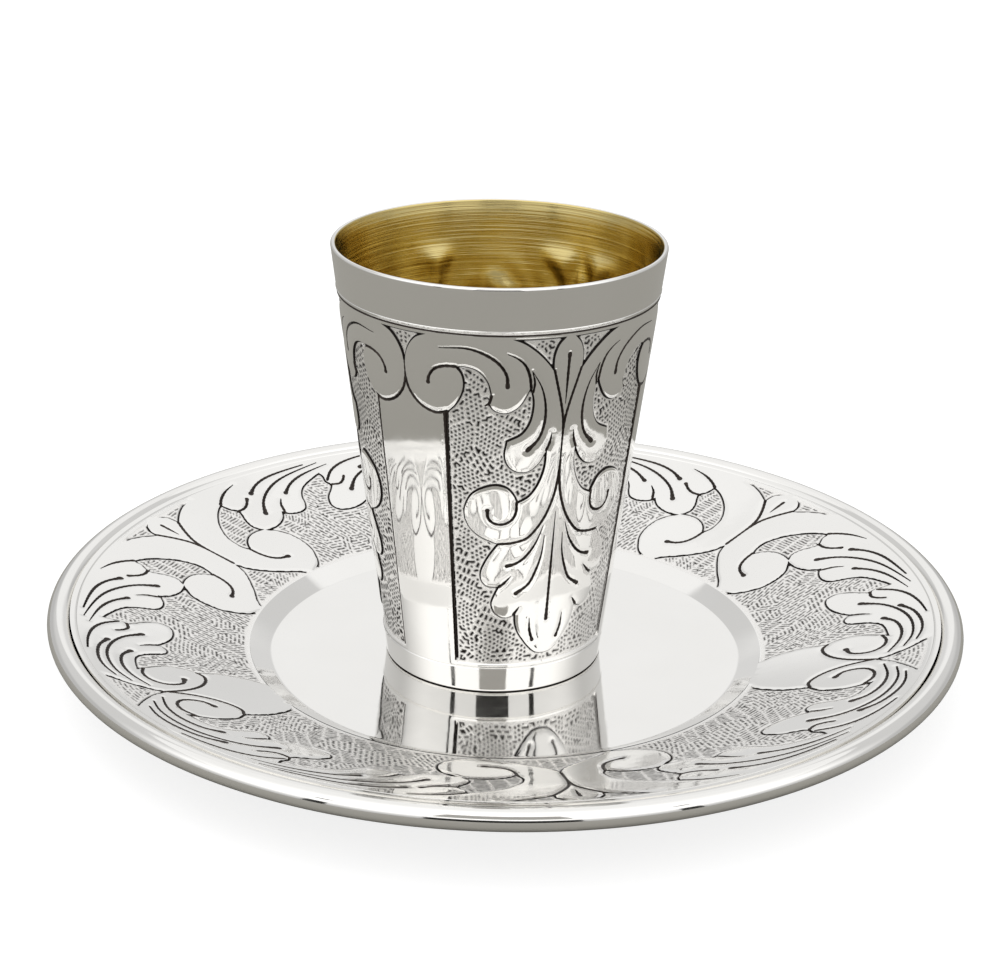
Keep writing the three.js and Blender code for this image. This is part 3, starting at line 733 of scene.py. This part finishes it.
def read_values(items, name, kind, size=1):
    """One named value of every item as an array, with a row each where it has more numbers."""
    found = np.empty(len(items) * size, kind)
    items.foreach_get(name, found)
    return found.reshape(-1, size) if size > 1 else found


def set_fair_normals(mesh):
    """Gives the polished chased faces the normals of the true curved surface."""
    normals = read_values(mesh.corner_normals, "vector", np.float32, 3)
    corners = read_values(mesh.loops, "vertex_index", np.int32)
    fair = read_values(mesh.attributes["fair"].data, "vector", np.float32, 3)[corners]
    finish = read_values(mesh.polygons, "material_index", np.int32)
    totals = read_values(mesh.polygons, "loop_total", np.int32)
    chosen = (np.repeat(finish, totals) == SILVER) & (np.linalg.norm(fair, axis=1) > 0.5)
    normals[chosen] = fair[chosen]
    mesh.normals_split_custom_set(normals.tolist())
    mesh.attributes.remove(mesh.attributes["fair"])


class Graph:
    """A material's node tree with short ways to add and join its nodes."""

    def __init__(self, name, inputs):
        self.material = bpy.data.materials.get(name) or bpy.data.materials.new(name)
        self.material.use_nodes = True
        self.tree = self.material.node_tree
        self.tree.nodes.clear()
        output = self.add("ShaderNodeOutputMaterial")
        self.shader = self.add("ShaderNodeBsdfPrincipled", inputs)
        self.join(self.shader, "BSDF", output, "Surface")
        self.place = self.add("ShaderNodeTexCoord")

    def add(self, kind, inputs=None):
        """A node of a kind, with values for the inputs that are named."""
        node = self.tree.nodes.new(kind)
        for name, value in (inputs or {}).items():
            node.inputs[name].default_value = value
        return node

    def join(self, start, output, end, entry):
        """A link from one node's output to another node's input."""
        self.tree.links.new(start.outputs[output], end.inputs[entry])

    def noise(self, scale, detail, rough=0.5):
        """Noise over the object's own space: the scale is in cells per metre."""
        node = self.add("ShaderNodeTexNoise", {"Scale": scale, "Detail": detail, "Roughness": rough})
        self.join(self.place, "Object", node, "Vector")
        return node

    def between(self, source, output, low, high, from_low=0.3, from_high=0.7):
        """A number spread between two others by the source."""
        node = self.add("ShaderNodeMapRange", {"From Min": from_low, "From Max": from_high,
                                               "To Min": low, "To Max": high})
        self.join(source, output, node, "Value")
        return node

    def colour(self, source, output, first, second):
        """The shader's colour, between two others by the source."""
        node = self.add("ShaderNodeMix")
        node.data_type = "RGBA"
        node.inputs[6].default_value = (*first, 1)
        node.inputs[7].default_value = (*second, 1)
        self.join(source, output, node, 0)
        self.join(node, 2, self.shader, "Base Color")

    def roughness(self, source, output, low, high, *span):
        """The shader's roughness, between two others by the source."""
        self.join(self.between(source, output, low, high, *span), "Result", self.shader, "Roughness")

    def bump(self, source, strength, distance):
        """Fine unevenness of the surface: the distance is in metres."""
        node = self.add("ShaderNodeBump", {"Strength": strength, "Distance": distance})
        self.join(source, 0, node, "Height")
        self.join(node, "Normal", self.shader, "Normal")


def polished_silver(finish):
    """Old polished silver: bright, with a faint handling haze and slight waves."""
    graph = Graph("Polished silver", {"Metallic": 1.0})
    graph.colour(graph.noise(60, 4), 0, finish.silver_haze, finish.silver)
    graph.roughness(graph.noise(260, 5, 0.6), 0, 0.03, 0.09)
    graph.bump(graph.noise(120, 2), 0.25, 0.00012)
    return graph.material


def matted_silver(finish):
    """Punched ground: tarnish fills the pits and thins over the ridges."""
    graph = Graph("Matted silver", {"Metallic": 0.85})
    tarnish = graph.add("ShaderNodeAttribute")
    tarnish.attribute_name = "tarnish"
    dark = graph.between(tarnish, "Fac", 0, 1, 0.1, 0.8)
    graph.colour(dark, "Result", finish.ground, finish.tarnish)
    graph.roughness(tarnish, "Fac", 0.26, 0.7, 0, 1)
    return graph.material


def chased_line(finish):
    """The bottom of a chased line: nearly black with old tarnish; it also paints the shadow under the cup's
    foot.
    """
    graph = Graph("Tarnished line and painted shadow", {"Metallic": 0.75, "Roughness": 0.42})
    graph.colour(graph.noise(500, 3), 0, finish.line, finish.line_worn)
    return graph.material


def gilding(finish):
    """Worn warm gilding with the fine rings of the spinning."""
    graph = Graph("Gilding", {"Metallic": 1.0})
    graph.colour(graph.noise(70, 3), 0, finish.gilding, finish.gilding_worn)
    graph.roughness(graph.noise(180, 4), 0, 0.1, 0.2)
    flat = graph.add("ShaderNodeMapping", {"Scale": (14, 14, 1200)})
    graph.join(graph.place, "Object", flat, "Vector")
    rings = graph.add("ShaderNodeTexNoise", {"Scale": 1.0, "Detail": 4.0, "Roughness": 0.65})
    graph.join(flat, "Vector", rings, "Vector")
    graph.bump(rings, 0.7, 0.00014)
    return graph.material


def silver_materials():
    """The four finishes in the order of their numbers."""
    finish = bpy.context.scene.finish_settings
    return [made(finish) for made in (polished_silver, matted_silver, chased_line, gilding)]


def finish_piece(piece, node):
    """Puts a finished piece in the place of its CAD node."""
    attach(piece, "root")
    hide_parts(node)


def length(name, description, default):
    """A control for a length: its default is in millimetres, and it is kept in metres."""
    return FloatProperty(name=name, description=description, subtype="DISTANCE", precision=5,
                         default=default * MM)


def share(name, description, default):
    """A control for a share from 0 to 1."""
    return FloatProperty(name=name, description=description, subtype="FACTOR", min=0, max=1,
                         default=default)


def chasing_controls(sink, outline, groove, line_width, line_depth, mat_pitch, mat_depth, patch,
                     dotted, stroke, stagger, tarnish, wear, plain_pitch, round_width, round_depth):
    """The controls of one piece's chasing, with that piece's own defaults."""
    return {
        "sink": length("Ground depth", "How far the matted ground is sunk", sink),
        "outline": length("Outline", "Width of the tarnished outline", outline),
        "groove": length("Groove", "Depth of the outline below the ground", groove),
        "line_width": FloatProperty(
            name="Line width", description="How wide the lines are against the drawing",
            default=line_width),
        "line_depth": length("Line depth", "Depth of the chased lines", line_depth),
        "mat_pitch": length("Punch pitch", "Spacing of the punch lattice", mat_pitch),
        "mat_depth": length("Punch depth", "Depth of a punched pit", mat_depth),
        "patch": length("Patch", "Width of a patch that is punched in one go", patch),
        "dotted": share("Dotted", "Share of the patches with dots and not strokes", dotted),
        "stroke": IntProperty(
            name="Stroke", description="Lattice steps from one stroke to the next", min=1,
            default=stroke),
        "stagger": IntProperty(
            name="Stagger", description="How far each row of strokes is set along",
            default=stagger),
        "tarnish": FloatProperty(
            name="Tarnish", description="How dark the punched pits are", default=tarnish),
        "wear": share("Paler low right", "Tarnish made paler low on the right side", wear),
        "plain_pitch": length("Plain pitch", "Spacing of mesh points on plain faces", plain_pitch),
        "round_width": length("Round width", "Width of the rounded edge by a cut", round_width),
        "round_depth": length("Round depth", "Drop of the rounded edge by a cut", round_depth),
    }


class CupSettings(bpy.types.PropertyGroup):
    """The depths and pitches of the cup's chasing."""

    __annotations__ = chasing_controls(
        sink=0.35, outline=0.42, groove=0.1, line_width=1.08, line_depth=0.3, mat_pitch=0.5,
        mat_depth=0.12, patch=4.0, dotted=0.7, stroke=3, stagger=1, tarnish=1.3, wear=0.5,
        plain_pitch=1.3, round_width=1.0, round_depth=0.09)


class SaucerSettings(bpy.types.PropertyGroup):
    """The depths and pitches of the saucer's chasing."""

    __annotations__ = chasing_controls(
        sink=0.14, outline=0.58, groove=0.2, line_width=1.3, line_depth=0.3, mat_pitch=0.45,
        mat_depth=0.08, patch=6.0, dotted=0.0, stroke=6, stagger=4, tarnish=0.8, wear=0.0,
        plain_pitch=1.5, round_width=1.0, round_depth=0.09)


def colour(name, description, default):
    """A control for a colour."""
    return FloatVectorProperty(name=name, description=description, subtype="COLOR", default=default)


class FinishSettings(bpy.types.PropertyGroup):
    """The colours of the silver, its tarnish and the gilding."""

    silver: colour("Silver", "Polished silver where it is clean", (0.91, 0.90, 0.88))
    silver_haze: colour("Haze", "Polished silver where it was handled", (0.86, 0.85, 0.825))
    ground: colour("Ground", "Matted silver between the pits", (0.88, 0.865, 0.84))
    tarnish: colour("Tarnish", "Tarnish in the pits and outlines", (0.02, 0.016, 0.014))
    # The line colours also paint the contact shadow on the cup foot's lowest edge
    line: colour("Line", "Tarnish in the chased lines", (0.018, 0.013, 0.011))
    line_worn: colour("Worn line", "Tarnish where it is thin", (0.06, 0.048, 0.04))
    gilding: colour("Gilding", "Gilding inside the cup", (0.73, 0.60, 0.27))
    gilding_worn: colour("Worn gilding", "Gilding where it is thin", (0.58, 0.47, 0.20))


def in_millimetres(settings):
    """A group's settings by name, with its lengths in millimetres."""
    values = {}
    for name, control in settings.bl_rna.properties.items():
        if name not in {"rna_type", "name"}:
            unit = MM if control.subtype == "DISTANCE" else 1
            values[name] = getattr(settings, name) / unit
    return SimpleNamespace(**values)


def around(centre, angle, radius, level):
    """Points in metres, from angles, radii and levels in mm round an upright axis."""
    return np.column_stack([centre[0] + radius * np.sin(angle),
                            centre[1] - radius * np.cos(angle), level]) * MM


def leaning_normals(angle, climb, side, hoop, slope):
    """A cone's normals on one side, leaning with the rounded edges; climb runs out and up."""
    out, rise = np.array(climb) / math.hypot(*climb)
    sine, cosine = np.sin(angle), np.cos(angle)
    along = np.column_stack([cosine, sine, np.zeros_like(angle)])
    uphill = np.column_stack([out * sine, -out * cosine, np.full_like(angle, rise)])
    face = np.column_stack([rise * sine, -rise * cosine, np.full_like(angle, -out)]) * side
    normal = face - along * hoop[:, None] - uphill * slope[:, None]
    return normal / np.linalg.norm(normal, axis=1)[:, None]


def cup_angle(even):
    """Where an evenly divided angle lies on the cup, in radians."""
    return (even + CUP_LEAF_AXIS) * DEG


def cup_place(even, height, relief):
    """Points on the cup's wall in metres, pushed out by the relief."""
    lean = 1 / math.hypot(1, CUP_LEAN)
    return around(CUP_CENTRE, cup_angle(even), cup_radius(height) + relief * lean,
                  SHEET + height - relief * CUP_LEAN * lean)


def cup_fair(even, hoop, slope):
    """The normals of the cup's wall, leaning with the rounded edges."""
    return leaning_normals(cup_angle(even), (CUP_LEAN, 1), 1, hoop, slope)


def saucer_place(even, radius, relief):
    """Points on the saucer's rim in metres, raised by the relief."""
    lean = 1 / math.hypot(1, RIM_SLOPE)
    return around((0, 0), saucer_angle(even) * DEG, radius - relief * RIM_SLOPE * lean,
                  SHEET + rim_height(radius) + relief * lean)


def saucer_fair(even, hoop, slope):
    """The normals of the saucer's rim, leaning with the rounded edges."""
    return leaning_normals(saucer_angle(even) * DEG, (1, RIM_SLOPE), -1, hoop, slope)


def chased_zone(name, drawing, divisions, place, fair_at, materials):
    """The chased band as one surface, with its tarnish and its fair normals."""
    verts, faces, finishes, dark, fair = lay_round(
        drawing.mesh(divisions), drawing.scale, place, fair_at)
    # The tarnish is made paler low on the right side of the piece
    right = np.clip((verts[:, 0] / MM - PALER_FROM[0]) / PALER_RUN[0], 0, 1)
    low = np.clip((PALER_FROM[1] - verts[:, 2] / MM) / PALER_RUN[1], 0, 1)
    dark = dark * (1 - drawing.settings.wear * right * low)
    zone = surface(name, verts, faces, finishes, materials)
    zone.data.attributes.new("tarnish", "FLOAT", "POINT").data.foreach_set(
        "value", dark.astype(np.float32))
    zone.data.attributes.new("fair", "FLOAT_VECTOR", "POINT").data.foreach_set(
        "vector", fair.astype(np.float32).ravel())
    return zone


def arc_profile(centre, radii, start, end, steps):
    """Profile points on an ellipse: angles in degrees up from the outward side."""
    return [(centre[0] + radii[0] * math.cos(angle), centre[1] + radii[1] * math.sin(angle))
            for angle in np.linspace(start, end, steps) * DEG]


def scribed(place, at, width=FINE_LINE[0], depth=FINE_LINE[1]):
    """Profile points of a fine turned line: place gives the profile point for a step and a drop."""
    half = width / 2
    outer = half + LINE_MARGIN
    drops = ((-outer, 0), (-half, 0), (0, depth), (half, 0), (outer, 0))
    return [place(at + step, drop) for step, drop in drops]


def cup_side(height, drop=0.0):
    """A profile point on the cup's outside, sunk by the drop."""
    return (cup_radius(height) - drop, height + SHEET)


def cup_inner(height):
    """A profile point on the cup's inside."""
    return (cup_radius(height) - CUP_WALL, height + SHEET)


def rim_top(radius, drop=0.0):
    """A profile point on the saucer's sloping rim, sunk by the drop."""
    return (radius, rim_height(radius) + SHEET - drop)


def gild_inside(mesh):
    """Gilds the faces of the lip's surface that lie inside the bright edge."""
    for face in mesh.polygons:
        away = math.hypot(face.center.x / MM - CUP_CENTRE[0], face.center.y / MM - CUP_CENTRE[1])
        inner = cup_radius(face.center.z / MM - SHEET) - CUP_RIM_WALL
        if away < inner + LIP_BRIGHT_EDGE:
            face.material_index = GILT


def blacken_tarnish_and_shadow(mesh, low, high):
    """Blackens the faces of a turned surface whose middles lie between two heights in mm: tarnish in a
    groove, and painted shadow at the foot.
    """
    for face in mesh.polygons:
        if low < face.center.z / MM - SHEET < high:
            face.material_index = LINE


def softened(relief):
    """The relief blurred along both directions, as it shows through from behind."""
    for axis in (0, 1, 0, 1):
        margins = [(1, 1) if side == axis else (0, 0) for side in (0, 1)]
        padded = np.pad(relief, margins, mode="edge")
        places = np.arange(padded.shape[axis])
        beside = padded.take(places[:-2], axis) + padded.take(places[2:], axis)
        relief = (beside + 2 * relief) / 4
    return relief


def inside_relief(drawing, materials):
    """The gilt inner wall, where the chasing shows softly from behind."""
    levels = np.linspace(*CUP_INNER_WALL, CUP_INNER_ROWS)
    columns = np.linspace(0, drawing.width, CUP_DIVISIONS // HALF_MOTIFS + 1)
    x, y = (values.ravel() for values in np.meshgrid(columns, levels))
    soft = softened(drawing.height(np.column_stack([x, y])).reshape(len(levels), len(columns)))
    fade = np.clip(np.minimum(levels - levels[0], levels[-1] - levels) / INSIDE_FADE, 0, 1)
    relief = (soft * fade[:, None] * INSIDE_STRENGTH).ravel()
    radius = cup_radius(y) + (relief - CUP_WALL * math.hypot(1, CUP_LEAN))
    across = len(columns)
    first = (np.arange(len(levels) - 1)[:, None] * across + np.arange(across - 1)).ravel()
    quads = np.column_stack([first, first + across, first + across + 1, first + 1])
    verts, faces = [], []
    for number, over, even in sectors(x, drawing.scale):
        verts.append(around(CUP_CENTRE, cup_angle(even), radius, y + SHEET))
        faces.append((quads[:, ::-1] if over else quads) + number * len(x))
    faces = np.concatenate(faces)
    return surface("cup_inside", np.concatenate(verts), faces, np.full(len(faces), GILT), materials)


def cup_lip(materials):
    """The plain band over the chasing: its groove and fillet, and the lip, gilt on the inside."""
    lip_radius = CUP_RIM_WALL / 2
    middle_height = CUP_HEIGHT - lip_radius
    middle = (cup_radius(middle_height) - lip_radius, middle_height + SHEET)
    start, crest_start, crest_end, end = LIP_FILLET
    profile = [cup_side(CUP_BAND[1])] + scribed(cup_side, *LIP_GROOVE)
    profile += [cup_side(start), cup_side(crest_start, -LIP_FILLET_RISE)]
    profile += [cup_side(crest_end, -LIP_FILLET_RISE), cup_side(end)]
    profile += [cup_side(height) for height in LIP_ROWS]
    profile += arc_profile(middle, (lip_radius, lip_radius), *LIP_ARC)
    profile += [cup_inner(height) for height in LIP_INNER_ROWS]
    lip = turned("cup_lip", profile, CUP_DIVISIONS, CUP_CENTRE, SILVER, materials)
    gild_inside(lip.data)
    blacken_tarnish_and_shadow(lip.data, *LIP_GROOVE_BLACK)
    return lip


def cup_floor(materials):
    """The gilt floor and the rounded corner that leads to it."""
    profile = [cup_inner(height) for height in FLOOR_ROWS]
    profile += [(cup_radius(height) - CUP_WALL - inward, level + SHEET)
                for height, inward, level in FLOOR_CORNER]
    profile += [(radius, CUP_FLOOR + SHEET) for radius in FLOOR_RADII]
    return turned("cup_floor", profile, CUP_DIVISIONS, CUP_CENTRE, GILT, materials)


def cup_foot(materials):
    """The plain band under the chasing, the rounded foot with a painted shadow on its lowest edge, and the
    flat underside.
    """
    profile = [cup_side(CUP_BAND[0])] + scribed(cup_side, FOOT_GROOVE)[::-1]
    profile += [cup_side(height) for height in FOOT_ROWS]
    profile += [cup_side(height, drop) for height, drop in FOOT_EDGE]
    profile += [(radius, SHEET) for radius in FOOT_RADII]
    foot = turned("cup_foot", profile, CUP_DIVISIONS, CUP_CENTRE, SILVER, materials)
    # Painted shadow: the foot's lowest edge is blackened where it stands on the saucer
    blacken_tarnish_and_shadow(foot.data, *FOOT_PAINTED_SHADOW)
    return foot


class SILVER_OT_cup(bpy.types.Operator):
    """Model the chased cup: band, wall, lip, gilt inside and foot"""

    bl_idname = "silver.cup"
    bl_label = "Cup"

    def execute(self, context):
        materials = silver_materials()
        drawing = Chasing(CUP_FIELDS, CUP_LINES, CUP_BAND, CUP_OUTLINED, CUP_DRAWING_RADIUS,
                          cup_radius, in_millimetres(context.scene.cup_settings))
        zone = chased_zone("cup_wall", drawing, CUP_DIVISIONS, cup_place, cup_fair, materials)
        parts = [zone, cup_lip(materials), inside_relief(drawing, materials), cup_floor(materials),
                 cup_foot(materials)]
        finish_piece(close_up("chased_cup", parts), "cup")
        return {"FINISHED"}


def turn_with_drift(piece):
    """Moves a turned surface's points round to the hand work's angles."""
    points = read_values(piece.data.vertices, "co", np.float64, 3)
    even = np.degrees(np.arctan2(points[:, 0], -points[:, 1]))
    radius = np.hypot(points[:, 0], points[:, 1])
    angle = saucer_angle(even) * DEG
    points[:, 0] = radius * np.sin(angle)
    points[:, 1] = -radius * np.cos(angle)
    piece.data.vertices.foreach_set("co", points.ravel())
    piece.data.update()


def saucer_well(materials):
    """The cove under the chased rim and the flat well."""
    middle, rounding = COVE_FOOT
    foot = arc_profile((middle, rounding + SHEET), (rounding, rounding), *COVE_ARC)
    start, end = np.array(rim_top(SAUCER_BAND[0])), np.array(foot[0])
    profile = [tuple(start + (end - start) * share) for share in COVE_SHARES] + foot
    profile += [(radius, SHEET) for radius in WELL_RADII]
    return turned("saucer_well", profile, SAUCER_DIVISIONS, (0, 0), SILVER, materials)


def saucer_border(materials):
    """The line outside the chasing, the rolled bead and the whole underside."""
    seam_radius, seam_at, seam_rise = BEAD_SEAM
    profile = [rim_top(SAUCER_BAND[1])] + scribed(rim_top, BORDER_LINE) + [rim_top(BORDER_EDGE)]
    profile += [(seam_radius, rim_height(seam_at) + SHEET + seam_rise)]
    profile += arc_profile((BEAD_CENTRE[0], BEAD_CENTRE[1] + SHEET), BEAD_RADII, *BEAD_ARC)
    profile += [(radius, rim_height(radius) - drop) for radius, drop in UNDER_RIM]
    profile += UNDER_WELL
    return turned("saucer_border", profile, SAUCER_DIVISIONS, (0, 0), SILVER, materials)


class SILVER_OT_saucer(bpy.types.Operator):
    """Model the saucer: chased rim, border bead, well and underside"""

    bl_idname = "silver.saucer"
    bl_label = "Saucer"

    def execute(self, context):
        materials = silver_materials()
        drawing = Chasing(SAUCER_FIELDS, SAUCER_LINES, SAUCER_BAND, SAUCER_OUTLINED,
                          SAUCER_DRAWING_RADIUS, lambda radius: radius,
                          in_millimetres(context.scene.saucer_settings))
        zone = chased_zone("saucer_rim", drawing, SAUCER_DIVISIONS, saucer_place, saucer_fair,
                           materials)
        turned_parts = [saucer_well(materials), saucer_border(materials)]
        for part in turned_parts:
            turn_with_drift(part)
        finish_piece(close_up("chased_saucer", [zone, *turned_parts]), "saucer")
        return {"FINISHED"}


def area_light(name, place, target, size, power):
    """A soft square light that faces its target; sizes are in metres."""
    data = bpy.data.lights.new(name, "AREA")
    data.energy = power
    data.size = size
    light = bpy.data.objects.new(name, data)
    bpy.context.collection.objects.link(light)
    light.location = place
    light.rotation_euler = (Vector(target) - Vector(place)).to_track_quat("-Z", "Y").to_euler()
    return light


def only_reflected(piece):
    """Hides a piece from everything but reflections."""
    piece.visible_camera = piece.visible_diffuse = piece.visible_shadow = False


def tabletop(name, level, tone, glow=0.0):
    """A wide level plane: the level is in metres, and glow is the light that it gives."""
    deselect()
    bpy.ops.mesh.primitive_plane_add(size=TABLE_SIZE, location=(0, 0, level))
    plane = bpy.context.object
    plane.name = name
    graph = Graph(name, {"Base Color": (*tone, 1), "Roughness": 0.8,
                         "Emission Color": (1, 1, 1, 1), "Emission Strength": glow})
    plane.data.materials.append(graph.material)
    return plane


def dark_card(name, place, size, tone):
    """An upright card on the camera's side that only shows in the silver."""
    deselect()
    bpy.ops.mesh.primitive_cube_add(size=1, location=place, scale=size)
    card = bpy.context.object
    card.name = name
    card.rotation_euler.z = math.atan2(place[0], -place[1])
    graph = Graph(name, {"Base Color": (*tone, 1), "Roughness": 0.9})
    card.data.materials.append(graph.material)
    only_reflected(card)
    return card


def tent_light(world):
    """A white light tent: dimmer low on the camera's side, greyer behind, bright overhead."""
    world.use_nodes = True
    tree = world.node_tree
    tree.nodes.clear()
    output = tree.nodes.new("ShaderNodeOutputWorld")
    background = tree.nodes.new("ShaderNodeBackground")
    tree.links.new(background.outputs["Background"], output.inputs["Surface"])
    place = tree.nodes.new("ShaderNodeTexCoord")
    split = tree.nodes.new("ShaderNodeSeparateXYZ")
    tree.links.new(place.outputs["Generated"], split.inputs["Vector"])

    def spread(source, start, end, low, high):
        """A smooth ramp from one brightness to another as the source runs from start to end."""
        node = tree.nodes.new("ShaderNodeMapRange")
        node.interpolation_type = "SMOOTHSTEP"
        for name, value in (("From Min", start), ("From Max", end), ("To Min", low),
                            ("To Max", high)):
            node.inputs[name].default_value = value
        tree.links.new(source, node.inputs["Value"])
        return node.outputs["Result"]

    def combined(operation, *sources):
        """The result of a Math node on the sources."""
        node = tree.nodes.new("ShaderNodeMath")
        node.operation = operation
        for source, entry in zip(sources, node.inputs):
            tree.links.new(source, entry)
        return node.outputs["Value"]

    x, y, z = split.outputs
    front = spread(z, 0.05, 0.5, 0.62, 1.35)
    back = spread(z, 0.22, 0.40, 0.74, 0.95)
    back = combined("MULTIPLY", back, spread(combined("ABSOLUTE", x), 0.24, 0.34, 1.0, 0.72))
    overhead = spread(z, 0.66, 0.72, 0.0, 1.0)
    mix = tree.nodes.new("ShaderNodeMix")
    tree.links.new(spread(y, -0.35, 0.35, 0.0, 1.0), mix.inputs[0])
    tree.links.new(front, mix.inputs[2])
    tree.links.new(combined("MAXIMUM", back, overhead), mix.inputs[3])
    tree.links.new(mix.outputs[0], background.inputs["Strength"])
    background.inputs["Color"].default_value = (1, 1, 1, 1)


def photo_camera():
    """The camera at the photo's place and angle."""
    data = bpy.data.cameras.new("Photo camera")
    data.sensor_width = CAMERA_SENSOR
    data.lens = CAMERA_LENS
    camera = bpy.data.objects.new("Photo camera", data)
    bpy.context.collection.objects.link(camera)
    forward = Vector((math.sin(CAMERA_YAW) * math.cos(CAMERA_PITCH),
                      math.cos(CAMERA_YAW) * math.cos(CAMERA_PITCH), -math.sin(CAMERA_PITCH)))
    level = Vector((math.cos(CAMERA_YAW), -math.sin(CAMERA_YAW), 0))
    up = level.cross(forward)
    right = level * math.cos(CAMERA_ROLL) + up * math.sin(CAMERA_ROLL)
    top = up * math.cos(CAMERA_ROLL) - level * math.sin(CAMERA_ROLL)
    turn = Matrix((right, top, -forward)).transposed().to_4x4()
    camera.matrix_world = Matrix.Translation(CAMERA_PLACE) @ turn
    bpy.context.scene.camera = camera


class SILVER_OT_stage(bpy.types.Operator):
    """Set the pale table, the soft lights, the cards and the camera"""

    bl_idname = "silver.stage"
    bl_label = "Stage"

    def execute(self, context):
        floor = tabletop("light_table", TABLE_LEVEL, TABLE_TONE, TABLE_GLOW)
        floor.visible_glossy = False
        card = tabletop("grey_card", CARD_LEVEL, CARD_TONE)
        only_reflected(card)
        key = area_light("softbox", SOFTBOX_PLACE, (0, 0, 0), SOFTBOX_SIZE, SOFTBOX_WATTS)
        key.visible_glossy = False
        cards = [dark_card(*STAND), dark_card(*STAND_HEAD)]
        for out, level, height in UPRIGHTS:
            for side in (-1, 1):
                cards.append(dark_card(f"upright_{len(cards)}", (side * out, UPRIGHTS_BACK, level),
                                       (UPRIGHT_WIDTH, CARD_THICKNESS, height), BLACK))
        photo_camera()
        world = context.scene.world or bpy.data.worlds.new("Light tent")
        context.scene.world = world
        tent_light(world)
        context.scene.view_settings.view_transform = "Standard"
        return {"FINISHED"}


class SILVER_PT_panel(bpy.types.Panel):
    """The sidebar panel with the settings and the steps"""

    bl_label = "Kiddush Cup"
    bl_idname = "SILVER_PT_panel"
    bl_space_type = "VIEW_3D"
    bl_region_type = "UI"
    bl_category = "Silver"

    def draw(self, context):
        scene = context.scene
        for settings in (scene.cup_settings, scene.saucer_settings, scene.finish_settings):
            box = self.layout.box()
            for name in settings.bl_rna.properties.keys():
                if name not in {"rna_type", "name"}:
                    box.prop(settings, name)
        for step in (SILVER_OT_cup, SILVER_OT_saucer, SILVER_OT_stage):
            self.layout.operator(step.bl_idname)


CLASSES = (CupSettings, SaucerSettings, FinishSettings, SILVER_OT_cup, SILVER_OT_saucer,
           SILVER_OT_stage, SILVER_PT_panel)


def register():
    """Registers the classes and gives every scene its settings."""
    for cls in CLASSES:
        bpy.utils.register_class(cls)
    bpy.types.Scene.cup_settings = PointerProperty(type=CupSettings)
    bpy.types.Scene.saucer_settings = PointerProperty(type=SaucerSettings)
    bpy.types.Scene.finish_settings = PointerProperty(type=FinishSettings)


def unregister():
    """Takes back what register did."""
    del bpy.types.Scene.finish_settings
    del bpy.types.Scene.saucer_settings
    del bpy.types.Scene.cup_settings
    for cls in reversed(CLASSES):
        bpy.utils.unregister_class(cls)


def main():
    """Registers the classes and runs every step."""
    register()
    bpy.ops.silver.cup()
    bpy.ops.silver.saucer()
    bpy.ops.silver.stage()


if __name__ == "__main__":
    main()
